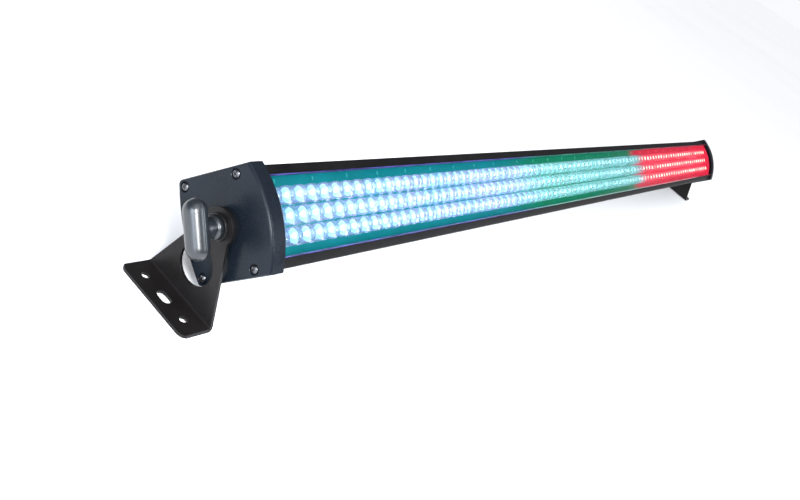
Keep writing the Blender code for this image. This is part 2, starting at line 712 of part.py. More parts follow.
def make_inlet():
    """The mains inlet: a bezel and a body around an open socket with three flat pins."""
    x = PANEL_MIDDLE + INLET_PLACE
    width, height, thickness = INLET_BEZEL
    body_width, body_height, body_depth = INLET_BODY
    front = FACE_OUTER - thickness
    outline = rectangle(width, height, PANEL_CORNER, (x, 0))
    bezel = prism("mains_inlet", outline, bar_y(FACE_OUTER), bar_y(front), "Y", "socket_plastic")
    body_span = (bar_y(FACE_OUTER + body_depth), bar_y(FACE_OUTER - thickness / 2))
    body = prism("body", rectangle(body_width, body_height, INLET_CORNER, (x, 0)), *body_span, "Y")
    inlet = join(bezel, body)
    mouth_width, mouth_height = body_width - 2 * INLET_WALL, body_height - 2 * INLET_WALL
    a, b = mouth_width / 2, mouth_height / 2
    right = [(x + a, -b), (x + a, b - INLET_SLOPE), (x + a - INLET_SLOPE, b)]
    mouth = right + [(2 * x - along, height) for along, height in reversed(right)]
    floor = FACE_OUTER + body_depth - INLET_FLOOR
    inlet = cut(inlet, prism("mouth", mouth, bar_y(floor), bar_y(front - thickness), "Y"))
    pin_width, pin_height, pin_length = INLET_PIN
    pins = []
    for side in (-1, 0, 1):
        offset = side * INLET_PIN_SPREAD
        lift = -INLET_PIN_DROP if side else INLET_PIN_DROP
        x_span = (x + offset - pin_width / 2, x + offset + pin_width / 2)
        y_span = (bar_y(floor + INLET_FLOOR / 2), bar_y(floor - pin_length))
        pins.append(block("pin", x_span, y_span, (lift - pin_height / 2, lift + pin_height / 2)))
    return join(inlet, *pins)


def make_fuse_holder():
    x = PANEL_MIDDLE + FUSE_PLACE
    rim = bar_y(FACE_OUTER - FUSE_RIM)
    seat = bar_y(FACE_OUTER)
    end = bar_y(FACE_OUTER + FUSE_BODY_LENGTH)
    floor = end + FUSE_RIM
    profile = [
        (floor, 0),
        (floor, FUSE_BORE_RADIUS),
        (rim, FUSE_BORE_RADIUS),
        (rim, FUSE_RIM_RADIUS),
        (seat, FUSE_RIM_RADIUS),
        (seat, FUSE_BODY_RADIUS),
        (end, FUSE_BODY_RADIUS),
        (end, 0),
    ]
    made = lathe("fuse_holder", profile, "Y", TURNED_STEPS, "socket_plastic")
    made.data.transform(Matrix.Translation((x, 0, 0)))
    return made


def make_fuse_cap():
    """The bayonet cap with the fuse carrier behind it, drawn about its own axis."""
    base = FIT_GAP
    top = base + FUSE_CAP_HEIGHT
    carrier_radius = FUSE_BORE_RADIUS - FIT_GAP
    profile = [
        (top, 0),
        (top, FUSE_CAP_RADIUS - EDGE_CHAMFER),
        (top - EDGE_CHAMFER, FUSE_CAP_RADIUS),
        (base, FUSE_CAP_RADIUS),
        (base, carrier_radius),
        (base - FUSE_CARRIER, carrier_radius),
        (base - FUSE_CARRIER, 0),
    ]
    fuse_cap = lathe("fuse_cap", profile, "Y", TURNED_STEPS, "socket_plastic")
    width, length, depth = FUSE_SLOT
    y_span = (top - depth, top + depth)
    slot = block("slot", (-length / 2, length / 2), y_span, (-width / 2, width / 2))
    fuse_cap = cut(fuse_cap, slot)
    fuse_cap.location = (PANEL_MIDDLE + FUSE_PLACE, bar_y(FACE_OUTER - FUSE_RIM), 0)
    return fuse_cap


def make_display():
    """The four digit display, from the control board to the panel's window."""
    x = PANEL_MIDDLE + DISPLAY_PLACE
    width, height = DISPLAY_SIZE
    y_span = (bar_y(CONTROL_BOARD_DEPTH - FIT_GAP), bar_y(PANEL_OUTER - DISPLAY_PROUD))
    x_span = (x - width / 2, x + width / 2)
    return block("display", x_span, y_span, (-height / 2, height / 2), "display_plastic")


def switch_top():
    """Depth at which the push switches on the control board end."""
    return CONTROL_BOARD_DEPTH - SWITCH_HEIGHT


def make_button(number, place):
    """A push button with the collar that keeps it behind the panel, drawn about its own axis."""
    collar_top = -PANEL_THICKNESS - FIT_GAP
    collar_base = collar_top - BUTTON_COLLAR_THICKNESS
    end = PANEL_OUTER - (switch_top() - BUTTON_TRAVEL - FIT_GAP)
    profile = [
        (BUTTON_PROUD, 0),
        (BUTTON_PROUD, BUTTON_RADIUS - BUTTON_CHAMFER),
        (BUTTON_PROUD - BUTTON_CHAMFER, BUTTON_RADIUS),
        (collar_top, BUTTON_RADIUS),
        (collar_top, BUTTON_COLLAR),
        (collar_base, BUTTON_COLLAR),
        (collar_base, BUTTON_RADIUS),
        (end, BUTTON_RADIUS),
        (end, 0),
    ]
    button = lathe(f"menu_button_{number}", profile, "Y", SMALL_STEPS, "button_plastic")
    button.location = (PANEL_MIDDLE + place, bar_y(PANEL_OUTER), 0)
    return button


def standoff_places():
    start, end = CONTROL_BOARD_SPAN
    level = CONTROL_BOARD_HEIGHT / 2 - STANDOFF_INSET
    ends = (start + STANDOFF_INSET, end - STANDOFF_INSET)
    return [(PANEL_MIDDLE + x, side * level) for x in ends for side in (-1, 1)]


def make_control_board():
    """The control board, with its push switches, processor and lead connector in one solid."""
    start, end = (PANEL_MIDDLE + x for x in CONTROL_BOARD_SPAN)
    half = CONTROL_BOARD_HEIGHT / 2
    rear, front = bar_y(CONTROL_BOARD_DEPTH), bar_y(CONTROL_BOARD_DEPTH + BOARD_THICKNESS)
    middle = (rear + front) / 2
    board = block("control_board", (start, end), (front, rear), (-half, half), "circuit_board")
    parts = []
    reach = SWITCH_SIZE / 2
    y_span = (middle, bar_y(switch_top()))
    for place in BUTTON_PLACES:
        x = PANEL_MIDDLE + place
        parts.append(block("switch", (x - reach, x + reach), y_span, (-reach, reach)))
    centre = (start + end) / 2
    reach = CHIP_SIZE / 2
    y_span = (front - CHIP_HEIGHT, middle)
    parts.append(block("chip", (centre - reach, centre + reach), y_span, (-reach, reach)))
    inset, length, width, height = CONNECTOR
    x_span = (start + inset, start + inset + length)
    y_span = (front - height, middle)
    parts.append(block("connector", x_span, y_span, (-width / 2, width / 2)))
    return join(board, *parts)


def make_standoffs():
    start, end = bar_y(CONTROL_BOARD_DEPTH - FIT_GAP), bar_y(PANEL_INNER + FIT_GAP)
    return [
        rod(f"board_standoff_{number}", start, end, STANDOFF_RADIUS, "Y", PIN_STEPS, place, "zinc_steel")
        for number, place in enumerate(standoff_places(), 1)
    ]


def dmx_shell(name, x):
    """The flange and barrel that both data sockets share, still without a mouth."""
    width, height, thickness = DMX_FLANGE
    face = FACE_OUTER - thickness
    outline = rectangle(width, height, DMX_FLANGE_CORNER, (x, 0))
    flange = prism(name, outline, bar_y(FACE_OUTER), bar_y(face), "Y", "socket_metal")
    span = (bar_y(FACE_OUTER + DMX_BARREL_LENGTH), bar_y(face + thickness / 2))
    return join(flange, rod("barrel", *span, DMX_BARREL_RADIUS, "Y", ROUND_STEPS, (x, 0))), face


def dmx_contacts(x):
    """The three contact places, on a circle and open at the top."""
    angles = (0, -pi / 2, pi)
    return [(x + DMX_PIN_CIRCLE * cos(angle), DMX_PIN_CIRCLE * sin(angle)) for angle in angles]


def make_dmx_in():
    x = PANEL_MIDDLE + DMX_IN_PLACE
    socket, face = dmx_shell("dmx_in_socket", x)
    floor = bar_y(face + DMX_MOUTH_DEPTH)
    outside = bar_y(face - DMX_FLANGE[2])
    socket = cut(socket, rod("mouth", floor, outside, DMX_MOUTH_RADIUS, "Y", ROUND_STEPS, (x, 0)))
    span = (floor - DMX_FLANGE[2], floor + DMX_PIN_LENGTH)
    pins = [rod("pin", *span, DMX_PIN_RADIUS, "Y", PIN_STEPS, place) for place in dmx_contacts(x)]
    return join(socket, *pins)


def make_dmx_out():
    x = PANEL_MIDDLE + DMX_OUT_PLACE
    socket, face = dmx_shell("dmx_out_socket", x)
    floor = bar_y(face + DMX_MOUTH_DEPTH)
    outside = bar_y(face - DMX_FLANGE[2])
    ring = [(floor, DMX_CORE_RADIUS), (floor, DMX_MOUTH_RADIUS)]
    ring += [(outside, DMX_MOUTH_RADIUS), (outside, DMX_CORE_RADIUS)]
    groove = lathe("groove", ring, "Y", ROUND_STEPS)
    groove.data.transform(Matrix.Translation((x, 0, 0)))
    span = (bar_y(face + DMX_SOCKET_DEPTH), outside)
    holes = [rod("hole", *span, DMX_SOCKET_RADIUS, "Y", PIN_STEPS, place) for place in dmx_contacts(x)]
    width, height = LATCH_SIZE
    x_span = (x - width / 2 - FIT_GAP, x + width / 2 + FIT_GAP)
    z_span = (LATCH_HEIGHT - height / 2 - FIT_GAP, LATCH_HEIGHT + height / 2 + FIT_GAP)
    latch_way = block("latch_way", x_span, (bar_y(FACE_OUTER + FIT_GAP), outside), z_span)
    return cut(socket, groove, *holes, latch_way)


def make_latch():
    """The release tab above the output socket, drawn about its own middle."""
    width, height = LATCH_SIZE
    face = FACE_OUTER - DMX_FLANGE[2]
    x_span, z_span = (-width / 2, width / 2), (-height / 2, height / 2)
    latch = block("dmx_out_latch", x_span, (-LATCH_STEM, LATCH_PROUD), z_span, "socket_metal")
    latch.location = (PANEL_MIDDLE + DMX_OUT_PLACE, bar_y(face), LATCH_HEIGHT)
    return latch


def make_lead(name, route, radius):
    """An internal lead: a smooth curve through its route points, as (x, depth, height)."""
    ways = [Vector((x, bar_y(depth), height)) for x, depth, height in route]
    ways = [2 * ways[0] - ways[1]] + ways + [2 * ways[-1] - ways[-2]]
    points = []
    for before, start, end, after in zip(ways, ways[1:], ways[2:], ways[3:]):
        for step in range(LEAD_STEPS):
            points.append(through(before, start, end, after, step / LEAD_STEPS))
    points.append(ways[-2])
    curve = bpy.data.curves.new(name, "CURVE")
    curve.dimensions = "3D"
    curve.bevel_depth = radius
    curve.bevel_resolution = 2
    curve.use_fill_caps = True
    spline = curve.splines.new("POLY")
    spline.points.add(len(points) - 1)
    for point, place in zip(spline.points, points):
        point.co = (*place, 1)
    lead = bpy.data.objects.new(name, curve)
    bpy.context.scene.collection.objects.link(lead)
    curve.materials.append(material("lead_sheath"))
    return lead


def through(before, start, end, after, part):
    """A point between start and end on the smooth curve through all four."""
    square, cube = part**2, part**3
    return 0.5 * (
        2 * start
        + (end - before) * part
        + (2 * before - 5 * start + 4 * end - after) * square
        + (3 * start - before - 3 * end + after) * cube
    )


def make_leads():
    """The mains lead from the inlet to the supply, and the low voltage lead from there to the board."""
    supply_end = SUPPLY_MIDDLE + SUPPLY_LENGTH / 2 + FIT_GAP
    inlet_x = PANEL_MIDDLE + INLET_PLACE
    inlet_end = FACE_OUTER + INLET_BODY[2] + LEAD_GAP
    level = -15 * MM
    mains = [
        (inlet_x, inlet_end, 0),
        (inlet_x, inlet_end + 4 * MM, 0),
        (inlet_x - 1 * MM, inlet_end + 8 * MM, -1 * MM),
        (inlet_x - 8 * MM, inlet_end + 12 * MM, -5 * MM),
        (inlet_x - 30 * MM, inlet_end + 8 * MM, level),
        (inlet_x - 120 * MM, 22 * MM, level - LEAD_SAG),
        (supply_end + 90 * MM, 20 * MM, level - LEAD_SAG),
        (supply_end + 20 * MM, 18 * MM, level),
        (supply_end, 18 * MM, level),
    ]
    board_x = PANEL_MIDDLE + CONTROL_BOARD_SPAN[0] + CONNECTOR[0] + CONNECTOR[1] / 2
    board_end = CONTROL_BOARD_DEPTH + BOARD_THICKNESS + CONNECTOR[3] + LEAD_GAP
    level = 15 * MM
    crest = min(board_end + 10 * MM, BOARD_REAR - SIGNAL_LEAD_RADIUS - LEAD_CLEARANCE)
    signal = [
        (board_x, board_end, 0),
        (board_x, board_end + 4 * MM, 0),
        (board_x - 1 * MM, board_end + 7 * MM, 1 * MM),
        (board_x - 8 * MM, crest, 5 * MM),
        (board_x - 40 * MM, crest, level),
        (board_x - 150 * MM, 24 * MM, level - LEAD_SAG),
        (supply_end + 90 * MM, 22 * MM, level - LEAD_SAG),
        (supply_end + 20 * MM, 18 * MM, level),
        (supply_end, 18 * MM, level),
    ]
    return [
        make_lead("mains_lead", mains, MAINS_LEAD_RADIUS),
        make_lead("low_voltage_lead", signal, SIGNAL_LEAD_RADIUS),
    ]


def make_spacer(name, side):
    start, end = side * FIT_GAP, side * (FOOT_SPACER - FIT_GAP)
    bore = STUD_RADIUS + RUNNING_GAP
    profile = [(start, bore), (start, SPACER_RADIUS), (end, SPACER_RADIUS), (end, bore)]
    return lathe(name, profile, "X", ROUND_STEPS, "spacer_rubber")


def foot_plate_outline():
    """The upright's outline about the tilt axis: a round top and two straight flanks down past the bend."""
    reach = hypot(AXIS_HEIGHT, FOOT_HALF_WIDTH)
    flank = atan2(FOOT_HALF_WIDTH, AXIS_HEIGHT) - asin(FOOT_TOP_RADIUS / reach)
    below = -AXIS_HEIGHT - FOOT_SHEET
    top = arc((0, 0), FOOT_TOP_RADIUS, -flank, pi + flank, 16)
    left = [(-FOOT_HALF_WIDTH, -AXIS_HEIGHT), (-FOOT_HALF_WIDTH, below)]
    return left + [(-y, z) for y, z in reversed(left)] + top


def make_foot(name, side):
    """A bent sheet foot about the tilt axis: an upright, and a flange that points away from the bar."""
    inner, outer = side * FOOT_SPACER, side * PLATE_OUTER
    tip = side * (PLATE_OUTER + FOOT_REACH)
    top, bottom = FOOT_TOP_RADIUS + FOOT_SHEET, -AXIS_HEIGHT
    upper = bottom + FOOT_SHEET
    bend_outer = FOOT_BEND + FOOT_SHEET
    profile = rounded(
        [
            (inner, top, 0),
            (outer, top, 0),
            (outer, upper, FOOT_BEND),
            (tip, upper, 0),
            (tip, bottom, 0),
            (inner, bottom, bend_outer),
        ]
    )
    wide = FOOT_HALF_WIDTH + FOOT_SHEET
    foot = prism(name, profile, -wide, wide, "Y", "foot_paint")
    upright = prism("upright", foot_plate_outline(), inner - side * FOOT_SHEET, tip + side * FOOT_SHEET)
    foot = combine(foot, "INTERSECT", [upright])
    plan = [
        (inner - side * FOOT_SHEET, -wide, 0),
        (tip, -FOOT_HALF_WIDTH, FOOT_CORNER),
        (tip, FOOT_HALF_WIDTH, FOOT_CORNER),
        (inner - side * FOOT_SHEET, wide, 0),
    ]
    plan_span = (bottom - FOOT_SHEET, top + FOOT_SHEET)
    foot = combine(foot, "INTERSECT", [prism("plan", rounded(plan), *plan_span, "Z")])
    across = (inner - side * FOOT_SHEET, outer + side * FOOT_SHEET)
    down = (bottom - FOOT_SHEET, upper + FOOT_SHEET)
    hole_x = side * (PLATE_OUTER + FOOT_HOLE_OFFSET)
    length, width = FOOT_SLOT
    straight = (length - width) / 2
    slot = arc((hole_x, straight), width / 2, 0, pi, SLOT_STEPS)
    slot += arc((hole_x, -straight), width / 2, pi, 2 * pi, SLOT_STEPS)
    tools = [
        rod("pivot_hole", *across, STUD_RADIUS + RUNNING_GAP),
        rod("big_hole", *across, FOOT_BIG_HOLE_RADIUS, "X", BIG_HOLE_STEPS, (0, -FOOT_BIG_HOLE_DROP)),
        prism("slot", slot, *down, "Z"),
    ]
    for spread in (-FOOT_SMALL_HOLE_SPREAD, FOOT_SMALL_HOLE_SPREAD):
        tools.append(rod("small_hole", *down, FOOT_SMALL_HOLE_RADIUS, "Z", HOLE_STEPS, (hole_x, spread)))
    return cut(foot, *tools)


def washer_start():
    return PLATE_OUTER + FIT_GAP


def knob_start():
    return washer_start() + WASHER_THICKNESS + FIT_GAP


def make_washer(name, side):
    start, end = side * washer_start(), side * (washer_start() + WASHER_THICKNESS)
    bore = STUD_RADIUS + RUNNING_GAP
    profile = [(start, bore), (start, WASHER_RADIUS), (end, WASHER_RADIUS), (end, bore)]
    return lathe(name, profile, "X", TURNED_STEPS, "zinc_steel")


def make_stud(name, side):
    """The threaded stud, from inside the knob through the foot and the cap into the insert."""
    inner = -side * STUD_REACH
    outer = side * (knob_start() + STUD_IN_KNOB)
    profile = [
        (inner, 0),
        (inner, STUD_RADIUS - EDGE_CHAMFER),
        (inner + side * EDGE_CHAMFER, STUD_RADIUS),
        (outer, STUD_RADIUS),
        (outer, 0),
    ]
    return lathe(name, profile, "X", TURNED_STEPS, "zinc_steel")


def make_knob(name, side):
    """The T-shaped grip: a collar and neck on the tilt axis, and a round bar across its end."""
    start = side * knob_start()
    collar_end = start + side * KNOB_COLLAR_LENGTH
    middle = side * KNOB_BAR_DISTANCE
    neck = [
        (start, 0),
        (start, KNOB_COLLAR_RADIUS),
        (collar_end, KNOB_COLLAR_RADIUS),
        (collar_end + side * EDGE_CHAMFER, KNOB_NECK_RADIUS),
        (middle, KNOB_NECK_RADIUS),
        (middle, 0),
    ]
    grip = lathe(name, neck, "X", TURNED_STEPS, "knob_plastic")
    straight = KNOB_BAR_LENGTH / 2 - KNOB_BAR_RADIUS
    upper = [(straight + KNOB_BAR_RADIUS, 0)]
    for step in (1, 2, 3, 4):
        angle = step * pi / 8
        upper.append((straight + KNOB_BAR_RADIUS * cos(angle), KNOB_BAR_RADIUS * sin(angle)))
    lower = [(-along, radius) for along, radius in reversed(upper)]
    bar = lathe("bar", upper + lower, "Z", TURNED_STEPS)
    bar.data.transform(Matrix.Translation((middle, 0, 0)))
    bar.data.transform(Matrix.Rotation(KNOB_TURN, 4, "X"))
    grip = join(grip, bar)
    bore_end = side * (knob_start() + STUD_IN_KNOB + FIT_GAP)
    span = (start - side * FOOT_SHEET, bore_end)
    return cut(grip, rod("bore", *span, STUD_RADIUS + FIT_GAP, "X", TURNED_STEPS))


def footprint_shift():
    """How far the tilt axis stands in front of the middle of the object's footprint."""
    tilted = [y * cos(TILT) + z * sin(TILT) for y, z in to_bar(body_outline(0, False))]
    return (min(tilted) + max(tilted)) / 2


def place_under(parent, pieces, x=0):
    """Parent the pieces to a frame, moved along the tilt axis to x."""
    for piece in pieces:
        piece.parent = parent
        piece.location.x += x


def end_pieces(side, side_name):
    """The bar's pieces at one end, drawn from the cap's outer face."""
    return [
        make_cap(f"end_cap_{side_name}", side),
        make_insert(f"knob_insert_{side_name}", side),
        *make_cap_screws(side, side_name),
        make_spacer(f"foot_spacer_{side_name}", side),
        make_washer(f"knob_washer_{side_name}", side),
        make_stud(f"knob_stud_{side_name}", side),
        make_knob(f"knob_grip_{side_name}", side),
    ]


def new_frame(name, tilt):
    """An empty on the tilt axis, at its height above the feet."""
    empty = bpy.data.objects.new(name, None)
    empty.location = (0, -footprint_shift(), AXIS_HEIGHT)
    empty.rotation_euler = (tilt, 0, 0)
    bpy.context.scene.collection.objects.link(empty)
    return empty


def build():
    clear_scene()
    bar = new_frame("bar_frame", -TILT)
    feet = new_frame("feet_frame", 0)
    pieces = [make_housing(), make_cover(), make_panel(), make_supply(), make_control_board()]
    pieces += [make_inlet(), make_fuse_holder(), make_fuse_cap(), make_display()]
    pieces += [make_dmx_in(), make_dmx_out(), make_latch()]
    pieces += [make_button(number, place) for number, place in enumerate(BUTTON_PLACES, 1)]
    pieces += make_standoffs() + make_leads()
    pieces += [make_led_board(name, index, colour) for index, (name, colour) in enumerate(LED_BOARDS)]
    panel_seat = bar_y(PANEL_OUTER)
    for number, place in enumerate(panel_screw_places(), 1):
        pieces.append(make_screw(f"panel_screw_{number}", PANEL_SCREW, 1, "Y", place, panel_seat))
    for number, x in enumerate(supply_screw_places(), 1):
        seat = bar_y(REAR_FLAT_DEPTH)
        pieces.append(make_screw(f"supply_screw_{number}", PANEL_SCREW, 1, "Y", (x, 0), seat))
    place_under(bar, pieces)
    for side, side_name in ((-1, "left"), (1, "right")):
        place_under(bar, end_pieces(side, side_name), side * HALF_BAR)
        place_under(feet, [make_foot(f"foot_bracket_{side_name}", side)], side * HALF_BAR)


build()
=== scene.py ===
"""Looks of the LED strip batten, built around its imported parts.

Lengths are in metres. The bar's own frame has X along the tilt axis, -Y the way the light leaves and Z
across the window. A piece that stands for a CAD part takes its place and size from that part's mesh.
"""

import json
from math import atan2, cos, exp, pi, radians, sin, sqrt

import bmesh
import bpy
from mathutils import Matrix, Vector

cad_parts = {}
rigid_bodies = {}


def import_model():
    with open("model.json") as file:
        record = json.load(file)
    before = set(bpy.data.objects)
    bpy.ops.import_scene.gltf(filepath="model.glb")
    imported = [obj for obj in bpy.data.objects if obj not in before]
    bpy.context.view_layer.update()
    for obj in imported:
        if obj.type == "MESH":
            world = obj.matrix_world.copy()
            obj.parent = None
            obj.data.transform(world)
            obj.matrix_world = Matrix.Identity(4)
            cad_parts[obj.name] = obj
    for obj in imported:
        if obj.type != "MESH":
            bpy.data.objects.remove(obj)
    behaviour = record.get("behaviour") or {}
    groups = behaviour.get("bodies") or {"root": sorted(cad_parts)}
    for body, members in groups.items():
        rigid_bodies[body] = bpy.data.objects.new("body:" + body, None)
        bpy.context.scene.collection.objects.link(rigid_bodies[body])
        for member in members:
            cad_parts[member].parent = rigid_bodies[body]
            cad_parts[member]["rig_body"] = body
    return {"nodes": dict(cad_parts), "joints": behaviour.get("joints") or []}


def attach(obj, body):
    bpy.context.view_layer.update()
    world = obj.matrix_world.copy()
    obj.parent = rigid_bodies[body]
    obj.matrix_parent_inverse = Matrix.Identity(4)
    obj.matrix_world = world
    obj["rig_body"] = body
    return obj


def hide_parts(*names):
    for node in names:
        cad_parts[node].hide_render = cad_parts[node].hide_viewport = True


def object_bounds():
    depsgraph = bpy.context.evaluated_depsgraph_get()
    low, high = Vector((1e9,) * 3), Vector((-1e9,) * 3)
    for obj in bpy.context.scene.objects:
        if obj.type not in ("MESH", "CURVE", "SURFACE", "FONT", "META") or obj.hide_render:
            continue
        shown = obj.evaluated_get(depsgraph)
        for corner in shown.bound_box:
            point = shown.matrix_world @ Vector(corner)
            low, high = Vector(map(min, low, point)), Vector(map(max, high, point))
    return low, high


MM = 0.001

# Camera
CAMERA_PLACE = (-0.90092, -0.24222, 0.31177)
CAMERA_TURN = (59.497, -31.162, -51.411)
CAMERA_LENS = 38.727
CAMERA_SENSOR = 36.0

# Points of a CAD mesh this close are one, or lie on one level
WELD = 0.002 * MM
LEVEL = 0.01 * MM

# End caps
CAP_EDGE = 1.9 * MM  # radius round the outer face
CAP_EDGE_STEPS = 7
CAP_RIM = 1.7 * MM  # wall round the open side
CAP_CHAMFER = 0.3 * MM
CAP_FACE = 4 * MM  # thickness of the outer face
CAP_DRAFT = 0.1 * MM
BOSS_RADIUS = 8 * MM
STUD_GAP = 0.4 * MM
STUD_LIP = 0.6 * MM  # countersink of the stud's hole
INSERT_GAP = 0.3 * MM
WELL_GAP = 0.45 * MM  # round a screw's head
WELL_DEPTH = 1.6 * MM
WELL_LIP = 0.35 * MM
SHANK_HOLE = 1.8 * MM  # radius
CUT_PAST = 1 * MM  # how far a cut starts or ends past its face
HOLE_STEPS = 40
WELL_STEPS = 32

# Screws. The edge, tip and cross are shares of the head's or the shank's own size.
HEAD_HEIGHT = 1.7 * MM
HEAD_EDGE = 0.25
HEAD_STEPS = 6
SHANK_RADIUS = 1.45 * MM
SHANK_TIP = 0.3
CROSS_ARM = 0.62
CROSS_WIDTH = 0.2
CROSS_DEPTH = 0.7
CROSS_FLOOR = 0.55
SCREW_STEPS = 28

# Knobs
GRIP_RADIUS = 7 * MM
GRIP_END_STEPS = 8
COLLAR_RADIUS = 7.5 * MM
COLLAR_HEIGHT = 3 * MM
COLLAR_CHAMFER = 0.4 * MM
NECK_FOOT_RADIUS = 6.2 * MM
NECK_WAIST_RADIUS = 5.9 * MM
NECK_WAIST = 5 * MM  # from the waist to the middle of the grip
NECK_RADIUS = 6 * MM
KNOB_STEPS = 40
KNOB_VOXEL = 0.36 * MM
KNOB_SMOOTHING = 6
RIDGE_HEIGHT = 0.3 * MM
RIDGE_WIDTH = 0.5 * MM
RIDGE_REACH = 2 * MM
RIDGE_CLEAR = 4 * MM  # nearer to the grip's axis than this is inside the neck

# LED boards
PLATE = 1.6 * MM
FENCE = 0.8 * MM  # thickness of the upright at each end of the row of boards
FENCE_GAP = 0.4 * MM  # from the fence to the cap
FENCE_SIDE = 0.3 * MM
FENCE_SINK = 0.1 * MM
FENCE_CROWN = 2.6 * MM  # from the cover's crown in to the fence's
FENCE_BROW = 0.1 * MM
FENCE_STEPS = 12
RESISTOR = (1.3 * MM, 0.6 * MM, 2.6 * MM)
RESISTOR_SEAT = 0.1 * MM
RESISTOR_EVERY = 3

# LEDs. Outlines are (height over the board, radius).
LED_APART = 4 * MM
LED_RADIUS = 5.7 * MM
LED_FLANGE = 6.0 * MM
LED_FLANGE_HEIGHT = 1.1 * MM
LED_SEAT = 0.12 * MM
LED_STEPS = 20
DOME_STEPS = 7
CUP_STEPS = 12
DIE_STEPS = 10
CUP_HEIGHT = 6.9 * MM
CUP_FOOT = CUP_HEIGHT - 1.9 * MM
CUP_RADIUS = 3.1 * MM
CUP_WALL = 0.4 * MM
CUP_OUTLINE = (
    (CUP_FOOT, 0.9 * MM),
    (CUP_HEIGHT, CUP_RADIUS),
    (CUP_HEIGHT, CUP_RADIUS - CUP_WALL),
    (CUP_FOOT + CUP_WALL, 0.7 * MM),
)
DIE_TOP = 8.8 * MM
DIE_OUTLINE = (
    (CUP_HEIGHT - 1 * MM, 0),
    (CUP_HEIGHT - 0.6 * MM, 1.0 * MM),
    (DIE_TOP - 0.8 * MM, 1.4 * MM),
    (DIE_TOP, 0),
)
LEG_SPACE = 1.27 * MM
LEG_WIDTH = 0.5 * MM
LEG_SEAT = 0.15 * MM
LEG_TOP = CUP_FOOT + 0.2 * MM
TIP_GLOW = 0.8 * MM  # how deep the bright tip starts
TIP_FULL = 0.1 * MM

# Where the cover's painted edge glow lies, measured from the edge of the window
WINDOW_HALF = 24.5 * MM
EDGE_START = 1.3 * MM
EDGE_FULL = 0.8 * MM

# The display's figures
FIGURES = "001"
FIGURE_HEIGHT = 8 * MM
FIGURE_WIDTH = 4.4 * MM
FIGURE_STEP = 7.6 * MM
FIGURE_STROKE = 0.9 * MM
FIGURE_CORNER = 1.4  # what a stroke stops short by, in half strokes
FIGURE_SINK = 0.1 * MM
FIGURE_PROUD = 0.05 * MM
STROKES = {"0": "abcdef", "1": "bc"}

# Where one board's colour gives way to the next, as a share of the bar's length
BLUE_END = 0.325
GREEN_START = 0.40
GREEN_END = 0.655
RED_START = 0.685

# How far that border wavers
ZONE_WAVER = 20 * MM

# Studio
FLOOR_SIZE = 60
FLOOR_DROP = 0.5 * MM
SUN_STRENGTH = 1.3
SUN_SPREAD = 60
WORLD_LIGHT = 0.72
WORLD_MIRRORED = 0.2


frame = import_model()
cad_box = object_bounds()
NODES = frame["nodes"]
JOINTS = {joint["name"]: joint for joint in frame["joints"]}

# The menu buttons press straight into the back of the bar, which gives the bar's tilt.
inward = Vector(JOINTS["button_1_press"]["axis"])
pivot = Vector(JOINTS["left_foot_tilt"]["pos_m"])
pivot.x = 0
BAR = Matrix.Translation(pivot) @ Matrix.Rotation(-atan2(inward.z, -inward.y), 4, "X")
TO_BAR = BAR.inverted()
FRONT = (0, -1, 0)
REAR = (0, 1, 0)
SIDES = (("left", -1), ("right", 1))


def bar_points(node):
    """The corners of a CAD node's mesh in the bar's frame."""
    return [TO_BAR @ vert.co for vert in NODES[node].data.vertices]


def bar_box(node):
    """The lowest and highest corner of a CAD node in the bar's frame."""
    points = bar_points(node)
    low = Vector([min(point[i] for point in points) for i in range(3)])
    high = Vector([max(point[i] for point in points) for i in range(3)])
    return low, high


# ---------------------------------------------------------------- mesh tools


def turned(profile, centre, axis, steps, closed=False):
    """A surface turned about an axis. Profile points are (along, radius) from centre."""
    centre, axis = Vector(centre), Vector(axis).normalized()
    side = axis.orthogonal().normalized()
    other = axis.cross(side)
    spokes = [side * cos(2 * pi * i / steps) + other * sin(2 * pi * i / steps) for i in range(steps)]
    made = bmesh.new()
    rings = []
    for along, radius in profile:
        middle = centre + axis * along
        used = spokes if radius else spokes[:1]
        rings.append([made.verts.new(middle + spoke * radius) for spoke in used])
    pairs = list(zip(rings, rings[1:]))
    if closed:
        pairs.append((rings[-1], rings[0]))
    for first, second in pairs:
        for i in range(steps):
            j = (i + 1) % steps
            corners = [first[i % len(first)], first[j % len(first)]]
            corners += [second[j % len(second)], second[i % len(second)]]
            corners = list(dict.fromkeys(corners))
            if len(corners) > 2:
                made.faces.new(corners)
    bmesh.ops.recalc_face_normals(made, faces=made.faces)
    return made


def box_between(low, high):
    """A box between two corners."""
    made = bmesh.new()
    size = [b - a for a, b in zip(low, high)]
    middle = [(a + b) / 2 for a, b in zip(low, high)]
    bmesh.ops.create_cube(made, size=1, matrix=Matrix.Translation(middle) @ Matrix.Diagonal((*size, 1)))
    return made


def prism(outline, x_start, x_end):
    """A (y, z) outline pulled along X."""
    made = bmesh.new()
    ends = [[made.verts.new((x, y, z)) for y, z in outline] for x in (x_start, x_end)]
    made.faces.new(ends[0])
    made.faces.new(ends[1][::-1])
    for i in range(len(outline)):
        j = (i + 1) % len(outline)
        made.faces.new((ends[0][i], ends[1][i], ends[1][j], ends[0][j]))
    bmesh.ops.recalc_face_normals(made, faces=made.faces)
    return made


def bridge(made, rings):
    """Join rings of (x, y, z) points, each as long as the next, and close both ends."""
    rings = [[made.verts.new(point) for point in ring] for ring in rings]
    count = len(rings[0])
    for first, second in zip(rings, rings[1:]):
        for i in range(count):
            j = (i + 1) % count
            made.faces.new((first[i], first[j], second[j], second[i]))
    made.faces.new(rings[0])
    made.faces.new(rings[-1][::-1])
    bmesh.ops.recalc_face_normals(made, faces=made.faces)


